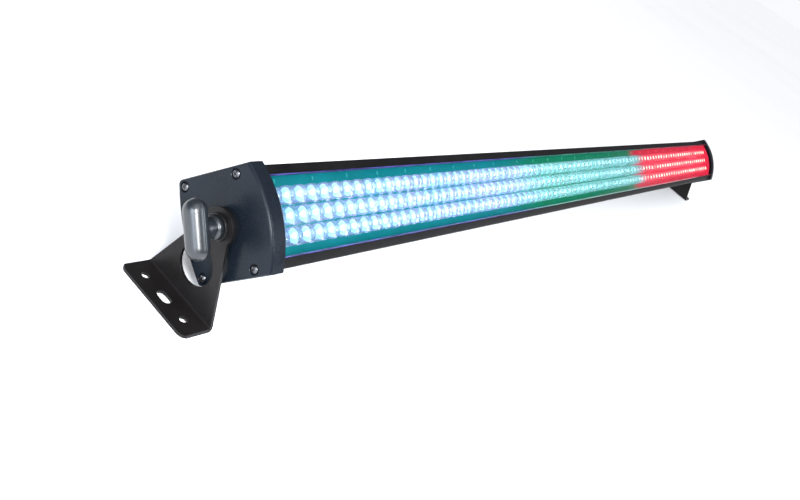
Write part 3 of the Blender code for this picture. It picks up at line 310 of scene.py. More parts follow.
def joined(*shapes):
    """Several shapes in one mesh, without a union."""
    made = bmesh.new()
    for shape in shapes:
        mesh = bpy.data.meshes.new("part")
        shape.to_mesh(mesh)
        shape.free()
        made.from_mesh(mesh)
        bpy.data.meshes.remove(mesh)
    return made


def temporary(shape):
    """A shape as an object, for its modifiers."""
    mesh = bpy.data.meshes.new("temporary")
    shape.to_mesh(mesh)
    shape.free()
    thing = bpy.data.objects.new("temporary", mesh)
    bpy.context.scene.collection.objects.link(thing)
    return thing


def evaluated(thing):
    """The mesh of a temporary object after its modifiers, which is then removed."""
    bpy.context.view_layer.update()
    final = thing.evaluated_get(bpy.context.evaluated_depsgraph_get())
    made = bmesh.new()
    made.from_mesh(final.to_mesh())
    final.to_mesh_clear()
    bpy.data.objects.remove(thing)
    return made


def combine(first, operation, *others):
    """The first shape after a Boolean with each of the others."""
    target = temporary(first)
    tools = [temporary(other) for other in others]
    for tool in tools:
        step = target.modifiers.new("step", "BOOLEAN")
        step.operation = operation
        step.object = tool
        step.solver = "EXACT"
    made = evaluated(target)
    for tool in tools:
        bpy.data.objects.remove(tool)
    return made


def add(name, shape, body, look, stands_for=(), at=BAR, angle=35, bevel=0, segments=2):
    """Turn a shape into a piece that rides on a body."""
    shape.transform(at)
    mesh = bpy.data.meshes.new(name)
    shape.to_mesh(mesh)
    shape.free()
    mesh.shade_smooth()
    mesh.set_sharp_from_angle(angle=radians(angle))
    piece = bpy.data.objects.new(name, mesh)
    bpy.context.scene.collection.objects.link(piece)
    mesh.materials.append(look)
    if bevel:
        step = piece.modifiers.new("edges", "BEVEL")
        step.width = bevel
        step.segments = segments
        step.limit_method = "ANGLE"
        step.angle_limit = radians(angle)
        step.harden_normals = True
    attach(piece, body)
    if stands_for:
        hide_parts(*stands_for)
    return piece


def copy_of(node, flatten=True):
    """A CAD node's mesh in the row's frame, welded, and with its flat faces whole again."""
    made = bmesh.new()
    made.from_mesh(NODES[node].data)
    bmesh.ops.remove_doubles(made, verts=made.verts, dist=WELD)
    if flatten:
        bmesh.ops.dissolve_limit(made, angle_limit=radians(0.5), verts=made.verts, edges=made.edges)
    return made


def refine(name, node, look, bevel=0.25 * MM, segments=2):
    """Add a piece with the CAD node's shape and softened edges."""
    body = NODES[node]["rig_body"]
    add(name, copy_of(node), body, look, [node], Matrix(), bevel=bevel, segments=segments)


def many(shape, places):
    """Copies of a shape at every place, in one mesh."""
    mesh = bpy.data.meshes.new("one")
    shape.to_mesh(mesh)
    shape.free()
    points = [vert.co.copy() for vert in mesh.vertices]
    faces = [list(face.vertices) for face in mesh.polygons]
    bpy.data.meshes.remove(mesh)
    all_points, all_faces = [], []
    for place in places:
        start = len(all_points)
        all_points += [point + place for point in points]
        all_faces += [[start + i for i in face] for face in faces]
    mesh = bpy.data.meshes.new("many")
    mesh.from_pydata(all_points, [], all_faces)
    made = bmesh.new()
    made.from_mesh(mesh)
    bpy.data.meshes.remove(mesh)
    return made


def hull(points):
    """The convex outline of (y, z) points, in order, without points on its straight runs."""
    points = sorted(set((round(y, 7), round(z, 7)) for y, z in points))

    def half(ordered):
        chain = []
        for point in ordered:
            while len(chain) > 1:
                (ay, az), (by, bz) = chain[-2], chain[-1]
                if (by - ay) * (point[1] - az) - (bz - az) * (point[0] - ay) > 1e-12:
                    break
                chain.pop()
            chain.append(point)
        return chain[:-1]

    return [Vector(point) for point in half(points) + half(points[::-1])]


def inset(outline, distance):
    """The outline moved inwards."""
    moved = []
    for before, here, after in zip(outline[-1:] + outline[:-1], outline, outline[1:] + outline[:1]):
        a, b = (here - before).normalized(), (after - here).normalized()
        normal = Vector((-(a.y + b.y), a.x + b.x)).normalized()
        moved.append(here + normal * distance / sqrt((1 + a.dot(b)) / 2))
    return moved


# ---------------------------------------------------------------- materials


class Look:
    """A node material with a Principled surface."""

    def __init__(self, name, **values):
        self.material = bpy.data.materials.new(name)
        self.material.use_nodes = True
        self.tree = self.material.node_tree
        self.surface = self.tree.nodes["Principled BSDF"]
        self.out = self.tree.nodes["Material Output"]
        for socket, value in values.items():
            self.surface.inputs[socket.replace("_", " ")].default_value = value

    def node(self, kind, settings=None, **values):
        """A new node. Inputs are set or linked by name, or by number as i0, i1 and so on."""
        made = self.tree.nodes.new("ShaderNode" + kind)
        for key, value in (settings or {}).items():
            setattr(made, key, value)
        for name, value in values.items():
            numbered = name[0] == "i" and name[1:].isdigit()
            target = made.inputs[int(name[1:]) if numbered else name.replace("_", " ")]
            if isinstance(value, bpy.types.NodeSocket):
                self.tree.links.new(value, target)
            else:
                target.default_value = value
        return made

    def link(self, source, socket):
        self.tree.links.new(source, self.surface.inputs[socket])

    def coordinates(self, stretch=(1, 1, 1)):
        place = self.node("TexCoord").outputs["Object"]
        return self.node("Mapping", Vector=place, Scale=stretch).outputs[0]

    def noise(self, vector, scale, detail=3.0, roughness=0.5):
        settings = {"Scale": scale, "Detail": detail, "Roughness": roughness}
        return self.node("TexNoise", Vector=vector, **settings).outputs[0]

    def maths(self, operation, first, second=0.0, third=0.0):
        return self.node("Math", {"operation": operation}, i0=first, i1=second, i2=third).outputs[0]

    def scaled(self, colour, factor):
        """A colour times a factor."""
        return self.node("VectorMath", {"operation": "SCALE"}, i0=colour, Scale=factor).outputs[0]

    def ramp(self, factor, *stops):
        """A colour ramp over (position, colour) stops."""
        made = self.node("ValToRGB", Fac=factor)
        elements = made.color_ramp.elements
        while len(elements) < len(stops):
            elements.new(0.5)
        for element, (position, colour) in zip(elements, stops):
            element.position = position
            element.color = (*colour, 1)
        return made.outputs[0]

    def rescale(self, value, low, high, to_low=0.0, to_high=1.0):
        """A value between low and high, spread over to_low to to_high and held at both ends."""
        ends = {"From_Min": low, "From_Max": high, "To_Min": to_low, "To_Max": to_high}
        return self.node("MapRange", Value=value, **ends).outputs[0]

    def bump(self, height, distance, strength=1.0):
        made = self.node("Bump", Height=height, Distance=distance, Strength=strength)
        self.link(made.outputs[0], "Normal")

    def local(self, axis):
        """The place along one axis of the bar's frame."""
        place = self.node("TexCoord").outputs["Object"]
        shifted = self.node("VectorMath", {"operation": "SUBTRACT"}, i0=place, i1=tuple(BAR.translation))
        spun = self.node("Mapping", Vector=shifted.outputs[0], Rotation=tuple(TO_BAR.to_euler()))
        return self.node("SeparateXYZ", Vector=spun.outputs[0]).outputs[axis]

    def along(self, waver=0.0):
        """The place along the bar, from 0 at its left end to 1, uneven by up to half the waver."""
        place = self.node("TexCoord").outputs["Object"]
        x = self.node("SeparateXYZ", Vector=place).outputs[0]
        if waver:
            x = self.maths("MULTIPLY_ADD", self.noise(place, 90.0, 4.0, 0.7), waver, x)
            x = self.maths("SUBTRACT", x, waver / 2)
        half = cad_box[1].x
        return self.rescale(x, -half, half)

    def zones(self, blue, green, red):
        """A colour for each board, blending where two of them meet."""
        stops = ((BLUE_END, blue), (GREEN_START, green), (GREEN_END, green), (RED_START, red))
        return self.ramp(self.along(ZONE_WAVER), *stops)


def grained(name, dark, light, roughness, grain, depth, gloss=0.5, metallic=0.0, stretch=(1, 1, 1)):
    """A surface whose colour, roughness and height vary with a fine and a coarse noise."""
    look = Look(name, Metallic=metallic, Specular_IOR_Level=gloss)
    fine = look.noise(look.coordinates(stretch), 1 / grain, 4.0)
    coarse = look.noise(look.coordinates(), 38.0, 3.0, 0.6)
    blend = look.maths("MULTIPLY_ADD", fine, 0.45, look.maths("MULTIPLY", coarse, 0.55))
    look.link(look.ramp(blend, (0.3, dark), (0.7, light)), "Base Color")
    look.link(look.rescale(blend, 0, 1, roughness - 0.08, roughness + 0.08), "Roughness")
    look.bump(fine, depth)
    return look.material


def lens_look():
    """Clear epoxy, a little milky with its own light and brightest at the tip."""
    look = Look("lens_clear", Transmission_Weight=0.94, IOR=1.5, Emission_Strength=1.0)
    place = look.coordinates()
    look.link(look.zones((0.68, 0.80, 1.0), (0.62, 0.88, 0.90), (1.0, 0.32, 0.42)), "Base Color")
    look.link(look.rescale(look.noise(place, 260.0, 2.0), 0, 1, 0.01, 0.08), "Roughness")
    each = look.noise(place, 85.0, 2.0, 0.7)
    level = look.rescale(each, 0.35, 0.65, 0.1, 0.75)
    grow = look.maths("MULTIPLY_ADD", look.along(), 0.32, 0.10)
    cool = look.zones((0.02, 0.62, 0.80), (0.06, 0.46, 0.42), (0.60, 0.012, 0.06))
    warm = look.zones((0.62, 0.52, 0.95), (0.18, 0.48, 0.56), (0.85, 0.05, 0.12))
    tint = look.rescale(look.noise(place, 48.0, 1.0), 0.42, 0.52)
    body = look.node("Mix", {"data_type": "RGBA"}, i0=tint, i6=cool, i7=warm).outputs[2]
    body = look.scaled(body, look.maths("MULTIPLY", level, grow))
    tip = bar_box("led_board_left")[0].y
    near = look.rescale(look.local(1), tip + TIP_GLOW, tip + TIP_FULL)
    spark = look.rescale(each, 0.3, 0.6, 0.25, 1.3)
    hot = look.zones((0.24, 0.30, 0.42), (0.50, 0.72, 0.68), (2.3, 2.3, 1.8))
    hot = look.scaled(hot, look.maths("MULTIPLY", near, spark))
    both = look.node("VectorMath", {"operation": "ADD"}, i0=body, i1=hot).outputs[0]
    look.link(both, "Emission Color")
    shadow = look.node("LightPath").outputs["Is Shadow Ray"]
    clear = look.node("BsdfTransparent").outputs[0]
    mixed = look.node("MixShader", Fac=shadow, i1=look.surface.outputs[0], i2=clear)
    look.tree.links.new(mixed.outputs[0], look.out.inputs["Surface"])
    return look.material


def board_look():
    """Solder mask with a painted glow standing in for its LEDs' light, and traces and pads just under it.
    """
    look = Look("lit_board", Roughness=0.35, Specular_IOR_Level=0.2, Emission_Strength=0.8)
    place = look.coordinates()
    tracks = look.node("TexBrick", {"offset": 0.5}, Vector=place, Scale=46.0, Mortar_Size=0.012)
    colour = look.zones((0.0, 0.185, 0.215), (0.0, 0.185, 0.095), (0.70, 0.02, 0.06))
    lit = look.scaled(colour, look.rescale(look.noise(place, 55.0, 4.0, 0.65), 0, 1, 0.7, 1.25))
    # Painted glow: the mask's zone colour is also given as emission, standing in for the LEDs' light
    # falling on the board.
    look.link(look.scaled(lit, 0.4), "Base Color")
    look.link(lit, "Emission Color")
    look.bump(tracks.outputs["Fac"], 0.03 * MM, 0.4)
    return look.material


def cover_look():
    """Clear plastic, seen by its gloss alone but for a painted glow along the window's edges."""
    look = Look("cover_clear", Roughness=0.07, IOR=1.4, Emission_Strength=0.5)
    height = look.maths("ABSOLUTE", look.local(2))
    edge = look.rescale(height, WINDOW_HALF - EDGE_START, WINDOW_HALF - EDGE_FULL)
    broken = look.noise(look.coordinates((0.12, 1, 1)), 300.0, 3.0, 0.6)
    broken = look.rescale(broken, 0.3, 0.65, 0.15, 1.0)
    thin = look.maths("MULTIPLY_ADD", look.node("Fresnel", IOR=1.3).outputs[0], 0.16, 0.01)
    look.link(look.maths("MAXIMUM", thin, look.maths("MULTIPLY", edge, 0.85)), "Alpha")
    colour = look.zones((0.07, 0.07, 0.26), (0.05, 0.24, 0.20), (0.55, 0.10, 0.15))
    # Painted glow: the edges along the window shine in their board's colour, standing in for LED light
    # carried in the cover.
    lit = look.scaled(colour, look.maths("MULTIPLY", edge, broken))
    look.link(lit, "Base Color")
    look.link(lit, "Emission Color")
    look.bump(broken, 0.004 * MM, 0.5)
    return look.material


def glow_look(name, blue, green, red, strength):
    """A glowing part, sparkling a little from place to place. The figures and LEDs give their own light;
    on the resistors the glow is painted.
    """
    look = Look(name, Roughness=0.4)
    colour = look.zones(blue, green, red)
    look.link(colour, "Base Color")
    look.link(colour, "Emission Color")
    sparkle = look.noise(look.coordinates(), 130.0, 1.0)
    look.link(look.rescale(sparkle, 0, 1, 0.6 * strength, 1.5 * strength), "Emission Strength")
    return look.material


CAP_LOOK = grained(
    "cap_plastic", (0.004, 0.006, 0.009), (0.007, 0.010, 0.015), 0.28,
    grain=0.6 * MM, depth=0.035 * MM, gloss=0.15,
)
KNOB_LOOK = grained(
    "knob_plastic", (0.006, 0.008, 0.010), (0.011, 0.014, 0.018), 0.32,
    grain=0.7 * MM, depth=0.04 * MM, gloss=0.75,
)
FOOT_LOOK = grained(
    "foot_paint", (0.005, 0.0042, 0.004), (0.010, 0.0088, 0.009), 0.36,
    grain=0.9 * MM, depth=0.04 * MM, gloss=0.19,
)
BAR_LOOK = grained(
    "black_aluminium", (0.003, 0.003, 0.0035), (0.009, 0.008, 0.0085), 0.38,
    grain=0.5 * MM, depth=0.012 * MM, gloss=0.09, metallic=0.1, stretch=(0.03, 1, 1),
)
PANEL_LOOK = grained(
    "panel_paint", (0.009, 0.009, 0.010), (0.016, 0.016, 0.017), 0.5,
    grain=0.5 * MM, depth=0.03 * MM,
)
SOCKET_LOOK = grained(
    "socket_plastic", (0.007, 0.007, 0.008), (0.014, 0.014, 0.015), 0.4,
    grain=0.4 * MM, depth=0.01 * MM,
)
METAL_LOOK = grained(
    "socket_metal", (0.30, 0.30, 0.31), (0.42, 0.42, 0.43), 0.3,
    grain=0.4 * MM, depth=0.005 * MM, metallic=1.0,
)
STEEL_LOOK = grained(
    "screw_steel", (0.05, 0.05, 0.055), (0.16, 0.16, 0.17), 0.3,
    grain=0.3 * MM, depth=0.006 * MM, metallic=1.0,
)
WASHER_LOOK = grained(
    "black_zinc", (0.012, 0.012, 0.013), (0.03, 0.03, 0.032), 0.35,
    grain=0.4 * MM, depth=0.01 * MM, metallic=0.6,
)
ZINC_LOOK = grained(
    "zinc_steel", (0.38, 0.38, 0.39), (0.55, 0.55, 0.56), 0.3,
    grain=0.3 * MM, depth=0.006 * MM, metallic=1.0,
)
BRASS_LOOK = grained(
    "brass", (0.50, 0.33, 0.12), (0.68, 0.48, 0.2), 0.3,
    grain=0.3 * MM, depth=0.006 * MM, metallic=1.0,
)
CASE_LOOK = grained(
    "supply_case", (0.48, 0.49, 0.5), (0.62, 0.63, 0.64), 0.35,
    grain=0.5 * MM, depth=0.01 * MM, metallic=1.0, stretch=(0.1, 1, 1),
)
BOARD_LOOK = grained(
    "circuit_board", (0.006, 0.10, 0.04), (0.012, 0.16, 0.06), 0.4,
    grain=1.2 * MM, depth=0.03 * MM,
)
BUTTON_LOOK = grained(
    "button_plastic", (0.02, 0.02, 0.02), (0.035, 0.035, 0.036), 0.45,
    grain=0.4 * MM, depth=0.01 * MM,
)
RUBBER_LOOK = grained(
    "spacer_rubber", (0.003, 0.004, 0.006), (0.006, 0.008, 0.011), 0.6,
    grain=0.6 * MM, depth=0.03 * MM, gloss=0.1,
)
SHEATH_LOOK = grained(
    "lead_sheath", (0.008, 0.008, 0.008), (0.018, 0.018, 0.018), 0.55,
    grain=0.8 * MM, depth=0.02 * MM,
)
DISPLAY_LOOK = grained(
    "display_plastic", (0.030, 0.003, 0.003), (0.055, 0.006, 0.006), 0.14,
    grain=0.8 * MM, depth=0.002 * MM,
)
FIGURE_LOOK = glow_look("lit_figure", (1.0, 0.03, 0.02), (1.0, 0.03, 0.02), (1.0, 0.04, 0.03), 2.0)
MASK_LOOK = board_look()
LENS_LOOK = lens_look()
CUP_LOOK = glow_look("led_cup", (0.22, 0.46, 0.90), (0.12, 0.50, 0.46), (0.8, 0.06, 0.10), 0.36)
DIE_LOOK = glow_look("led_die", (0.56, 0.62, 0.80), (0.40, 0.76, 0.72), (1.0, 0.64, 0.50), 0.8)
# Painted glow: the resistors shine in their board's colour, standing in for the LEDs' light falling on
# them.
RESISTOR_GLOW_LOOK = glow_look("resistor_painted_glow", (0.01, 0.21, 0.21), (0.03, 0.28, 0.17), (0.75, 0.12, 0.14), 0.4)
COVER_LOOK = cover_look()


# ---------------------------------------------------------------- the bar


def stud_hole(side_name, face, depth, axis):
    """What is cut from a cap for its stud and insert, with a countersink on the outer face."""
    stud = bar_box(f"knob_stud_{side_name}")
    insert = bar_box(f"knob_insert_{side_name}")
    stud_radius = (stud[1].z - stud[0].z) / 2 + STUD_GAP
    insert_radius = (insert[1].z - insert[0].z) / 2 + INSERT_GAP
    insert_depth = abs(face) - max(abs(insert[0].x), abs(insert[1].x)) - INSERT_GAP
    profile = [(-STUD_LIP, 0), (-STUD_LIP, stud_radius + 2 * STUD_LIP), (STUD_LIP, stud_radius)]
    profile += [(insert_depth, stud_radius), (insert_depth, insert_radius)]
    profile += [(depth + STUD_LIP, insert_radius), (depth + STUD_LIP, 0)]
    return turned(profile, (face, 0, 0), axis, HOLE_STEPS)


def screw_well(node, face, axis):
    """What is cut from a cap for one screw: a well for its head with a soft lip, and its shank's hole."""
    low, high = bar_box(node)
    middle = (face, (low.y + high.y) / 2, (low.z + high.z) / 2)
    radius = (high.z - low.z) / 2 + WELL_GAP
    profile = [(-CUT_PAST, 0), (-CUT_PAST, radius + WELL_LIP + CUT_PAST), (WELL_LIP, radius)]
    profile += [(WELL_DEPTH, radius), (WELL_DEPTH, SHANK_HOLE)]
    profile += [(CAP_FACE + CUT_PAST, SHANK_HOLE), (CAP_FACE + CUT_PAST, 0)]
    return turned(profile, middle, axis, WELL_STEPS)


def make_cap(side_name, side):
    """One moulded end cap: a rounded outer edge, four screw wells, the stud's hole and its boss."""
    node = f"end_cap_{side_name}"
    points = bar_points(node)
    outline = hull([(point.y, point.z) for point in points])
    face = max(abs(point.x) for point in points)
    top = max(point.z for point in points)
    length = face - min(abs(point.x) for point in points if point.z > top - LEVEL)
    boss_end = face - min(abs(point.x) for point in points)

    def ring(depth, distance):
        return [(side * (face - depth), y, z) for y, z in inset(outline, distance)]

    rings = []
    for step in range(CAP_EDGE_STEPS + 1):
        angle = step / CAP_EDGE_STEPS * pi / 2
        rings.append(ring(CAP_EDGE * (1 - cos(angle)), CAP_EDGE * (1 - sin(angle))))
    rings += [ring(length - CAP_CHAMFER, 0), ring(length, CAP_CHAMFER), ring(length, CAP_RIM)]
    rings.append(ring(CAP_FACE, CAP_RIM + CAP_DRAFT))
    shell = bmesh.new()
    bridge(shell, rings)
    axis = (-side, 0, 0)
    profile = [(CAP_FACE / 2, 0), (CAP_FACE / 2, BOSS_RADIUS), (boss_end, BOSS_RADIUS), (boss_end, 0)]
    boss = turned(profile, (side * face, 0, 0), axis, HOLE_STEPS)
    shell = combine(shell, "UNION", boss)
    tools = [stud_hole(side_name, side * face, boss_end, axis)]
    for number in range(1, 5):
        tools.append(screw_well(f"cap_screw_{side_name}_{number}", side * face, axis))
    shell = combine(shell, "DIFFERENCE", *tools)
    piece = add(f"cap_{side_name}", shell, "bar", CAP_LOOK, [node], angle=30)
    weights = piece.modifiers.new("weights", "WEIGHTED_NORMAL")
    weights.keep_sharp = True


def screw_shape(radius, length):
    """A pan head screw along +Z with a cross recess, its seat at the origin."""
    profile = [(HEAD_HEIGHT, 0)]
    for step in range(1, HEAD_STEPS + 1):
        angle = step / HEAD_STEPS * pi / 2
        profile.append((HEAD_HEIGHT * (HEAD_EDGE + (1 - HEAD_EDGE) * cos(angle)), radius * sin(angle)))
    profile += [(0, radius), (0, SHANK_RADIUS), (SHANK_RADIUS - length, SHANK_RADIUS)]
    profile += [(-length, SHANK_TIP * SHANK_RADIUS), (-length, 0)]
    head = turned(profile, (0, 0, 0), (0, 0, 1), SCREW_STEPS)
    arm, width, depth = CROSS_ARM * radius, CROSS_WIDTH * radius, CROSS_DEPTH * HEAD_HEIGHT
    tools = []
    for turn in (0, pi / 2):
        low, high = (-arm, -width / 2, HEAD_HEIGHT - depth), (arm, width / 2, HEAD_HEIGHT + CUT_PAST)
        tool = box_between(low, high)
        for vert in tool.verts:
            if vert.co.z < HEAD_HEIGHT:
                vert.co.x *= CROSS_FLOOR
        tool.transform(Matrix.Rotation(turn, 4, "Z"))
        tools.append(tool)
    return combine(head, "DIFFERENCE", *tools)


def make_screw(node, axis, turn):
    """A cross-head screw where the CAD has one. Axis points out of the head."""
    low, high = bar_box(node)
    axis = Vector(axis)
    along = max(range(3), key=lambda i: abs(axis[i]))
    across = (along + 1) % 3
    radius = (high[across] - low[across]) / 2
    top = high[along] if axis[along] > 0 else low[along]
    bottom = low[along] if axis[along] > 0 else high[along]
    place = (low + high) / 2
    place[along] = top - axis[along] * HEAD_HEIGHT
    matrix = Matrix.Translation(place) @ axis.to_track_quat("Z", "Y").to_matrix().to_4x4()
    shape = screw_shape(radius, abs(place[along] - bottom))
    shape.transform(matrix @ Matrix.Rotation(turn, 4, "Z"))
    add(node + "_cross", shape, "bar", STEEL_LOOK, [node], angle=30)


def make_housing():
    refine("extrusion", "housing_extrusion", BAR_LOOK, 0.3 * MM, 3)


def make_cover():
    shape = copy_of("front_cover", flatten=False)
    add("cover", shape, "bar", COVER_LOOK, ["front_cover"], Matrix(), 40)


def group(values, gap):
    """The middles of groups of values that lie apart."""
    groups = []
    for value in sorted(values):
        if groups and value - groups[-1][-1] < gap:
            groups[-1].append(value)
        else:
            groups.append([value])
    return [(part[0] + part[-1]) / 2 for part in groups]


def led_places(node):
    """Where each LED stands on one board, as (x, z), and how far out their tips reach."""
    points = bar_points(node)
    front = min(point.y for point in points)
    tips = [point for point in points if point.y < front + LEVEL]
    columns = group([point.x for point in tips], LED_APART)
    rows = group([point.z for point in tips], LED_APART)
    return [(x, z) for x in columns for z in rows], front


def plate_shape(short, low, high, surface):
    """A board's plate. At the bar's ends it runs on to the cap and up to the cover as a thin fence."""
    rim = min(abs(point.x) for point in bar_points("end_cap_left") if point.z > high.z) - FENCE_GAP
    start = -rim if short == "left" else low.x
    end = rim if short == "right" else high.x
    cover_low, cover_high = bar_box("front_cover")
    crown, brow = cover_low.y + FENCE_CROWN, cover_high.y + FENCE_BROW
    half = high.z - FENCE_SIDE
    shapes = [box_between((start, surface, low.z), (end, high.y, high.z))]
    for x, way in ((-rim, 1), (rim, -1)):
        if x in (start, end):
            outline = [(surface + FENCE_SINK, half), (surface + FENCE_SINK, -half)]
            for step in range(FENCE_STEPS + 1):
                z = half * (2 * step / FENCE_STEPS - 1)
                outline.append((crown + (brow - crown) * (z / half) ** 2, z))
            shapes.append(prism(outline, x, x + way * FENCE))
    return joined(*shapes)


def lens_shape(height):
    """One LED's lens: a flange on the board and a round dome."""
    dome = height - LED_RADIUS
    profile = [(LED_SEAT, 0), (LED_SEAT, LED_FLANGE), (LED_FLANGE_HEIGHT, LED_FLANGE)]
    profile += [(LED_FLANGE_HEIGHT + 0.1 * MM, LED_RADIUS)]
    for step in range(DOME_STEPS):
        angle = step / DOME_STEPS * pi / 2
        profile.append((dome + LED_RADIUS * sin(angle), LED_RADIUS * cos(angle)))
    profile.append((height, 0))
    return turned(profile, (0, 0, 0), FRONT, LED_STEPS)


def leg_shapes():
    """One LED's two legs, up to its cup."""
    legs = []
    half = LEG_WIDTH / 2
    for middle in (-LEG_SPACE, LEG_SPACE):
        legs.append(box_between((-half, -LEG_TOP, middle - half), (half, -LEG_SEAT, middle + half)))
    return joined(*legs)


def make_led_board(node):
    """One LED board: its plate, a row of resistors, and for each LED a lens, cup, die and two legs."""
    places, front = led_places(node)
    low, high = bar_box(node)
    surface = high.y - PLATE
    short = node.replace("led_board_", "")
    plate = plate_shape(short, low, high, surface)
    add(f"board_{short}", plate, "bar", MASK_LOOK, [node], bevel=0.15 * MM)
    feet = [Vector((x, surface, z)) for x, z in places]
    cup = turned(CUP_OUTLINE, (0, 0, 0), FRONT, CUP_STEPS, closed=True)
    die = turned(DIE_OUTLINE, (0, 0, 0), FRONT, DIE_STEPS)
    add(f"lenses_{short}", many(lens_shape(surface - front), feet), "bar", LENS_LOOK, angle=50)
    add(f"cups_{short}", many(cup, feet), "bar", CUP_LOOK, angle=50)
    add(f"dies_{short}", many(die, feet), "bar", DIE_LOOK, angle=50)
    add(f"legs_{short}", many(leg_shapes(), feet), "bar", ZINC_LOOK, angle=50)
    strip = (high.z + max(z for _, z in places) + LED_FLANGE) / 2
    columns = sorted(set(x for x, _ in places))[1::RESISTOR_EVERY]
    x, y, z = RESISTOR
    resistor = box_between((-x / 2, -y, -z / 2), (x / 2, -RESISTOR_SEAT, z / 2))
    spots = [Vector((column, surface, strip)) for column in columns]
    add(f"resistors_{short}", many(resistor, spots), "bar", RESISTOR_GLOW_LOOK, bevel=0.1 * MM)


def make_figures():
    """Lit figures on the display, made of straight strokes and read from behind the bar."""
    low, high = bar_box("display")
    half, rise, thick = FIGURE_WIDTH / 2, FIGURE_HEIGHT / 2, FIGURE_STROKE / 2
    flat = (half - FIGURE_CORNER * thick, thick)
    upright = (thick, rise / 2 - FIGURE_CORNER * thick)
    shapes = {"a": (0, rise, flat), "d": (0, -rise, flat)}
    shapes.update(b=(half, rise / 2, upright), c=(half, -rise / 2, upright))
    shapes.update(e=(-half, -rise / 2, upright), f=(-half, rise / 2, upright))
    strokes = []
    for place, figure in enumerate(FIGURES):
        middle = (low.x + high.x) / 2 + ((len(FIGURES) - 1) / 2 - place) * FIGURE_STEP
        for stroke in STROKES[figure]:
            right, up, (across, along) = shapes[stroke]
            corner = (middle - right - across, high.y - FIGURE_SINK, up - along)
            opposite = (middle - right + across, high.y + FIGURE_PROUD, up + along)
            strokes.append(box_between(corner, opposite))
    add("figures", joined(*strokes), "bar", FIGURE_LOOK)


# ---------------------------------------------------------------- feet and knobs


def blended(shape):
    """The shape as one even skin, with its inner corners smoothed."""
    thing = temporary(shape)
    step = thing.modifiers.new("even", "REMESH")
    step.mode = "VOXEL"
    step.voxel_size = KNOB_VOXEL
    step = thing.modifiers.new("blend", "SMOOTH")
    step.factor = 0.5
    step.iterations = KNOB_SMOOTHING
    return evaluated(thing)


def raise_ridge(shape, middle, direction, straight):
    """The grip's parting line, a low ridge where the plane x = middle cuts it."""
    for vert in shape.verts:
        off = vert.co.x - middle
        if abs(off) < RIDGE_REACH:
            across = Vector((0, vert.co.y, vert.co.z))
            run = across.dot(direction)
            past_end = max(0.0, abs(run) - straight) * (1 if run > 0 else -1)
            way = across - direction * run + direction * past_end
            if way.length > RIDGE_CLEAR:
                rise = RIDGE_HEIGHT * exp(-((off / RIDGE_WIDTH) ** 2))
                vert.co += way.normalized() * rise


def make_knob(side_name, side):
    """The T grip: a round bar on a neck and collar, blended into one moulding with a parting line."""
    node = f"knob_grip_{side_name}"
    low, high = bar_box(node)
    far = max(abs(low.x), abs(high.x))
    near = min(abs(low.x), abs(high.x))
    middle = far - GRIP_RADIUS
    tip = max(bar_points(node), key=lambda point: point.z)
    half = Vector((0, tip.y, tip.z)).length
    direction = Vector((0, tip.y, tip.z)).normalized()
    straight = half - GRIP_RADIUS
    profile = [(-half, 0)]
    for step in range(1, GRIP_END_STEPS + 1):
        angle = step / GRIP_END_STEPS * pi / 2
        profile.append((-straight - GRIP_RADIUS * cos(angle), GRIP_RADIUS * sin(angle)))
    profile += [(-along, radius) for along, radius in reversed(profile)]
    grip = turned(profile, (side * middle, 0, 0), direction, KNOB_STEPS)
    collar_end = near + COLLAR_HEIGHT
    chamfered = COLLAR_RADIUS - COLLAR_CHAMFER
    profile = [(near, 0), (near, chamfered), (near + COLLAR_CHAMFER, COLLAR_RADIUS)]
    profile += [(collar_end - COLLAR_CHAMFER, COLLAR_RADIUS), (collar_end, chamfered)]
    profile += [(collar_end + COLLAR_CHAMFER, NECK_FOOT_RADIUS), (middle - NECK_WAIST, NECK_WAIST_RADIUS)]
    profile += [(middle, NECK_RADIUS), (middle, 0)]
    neck = turned(profile, (0, 0, 0), (side, 0, 0), KNOB_STEPS)
    shape = blended(combine(grip, "UNION", neck))
    raise_ridge(shape, side * middle, direction, straight)
    add(f"grip_{side_name}", shape, NODES[node]["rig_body"], KNOB_LOOK, [node], angle=60)


def make_foot(side_name):
    """One foot bracket, with the spacer and the washer it is clamped between."""
    refine(f"foot_{side_name}", f"foot_bracket_{side_name}", FOOT_LOOK, 0.35 * MM, 3)
    refine(f"spacer_{side_name}", f"foot_spacer_{side_name}", RUBBER_LOOK, 0.3 * MM)
    refine(f"washer_{side_name}", f"knob_washer_{side_name}", WASHER_LOOK, 0.25 * MM)


# ---------------------------------------------------------------- build


def paint(looks):
    """Give the CAD parts that still show the look that goes with the start of their name."""
    for node, thing in NODES.items():
        if thing.hide_render:
            continue
        found = next((look for start, look in looks.items() if node.startswith(start)), None)
        thing.data.materials.clear()
        thing.data.materials.append(found)


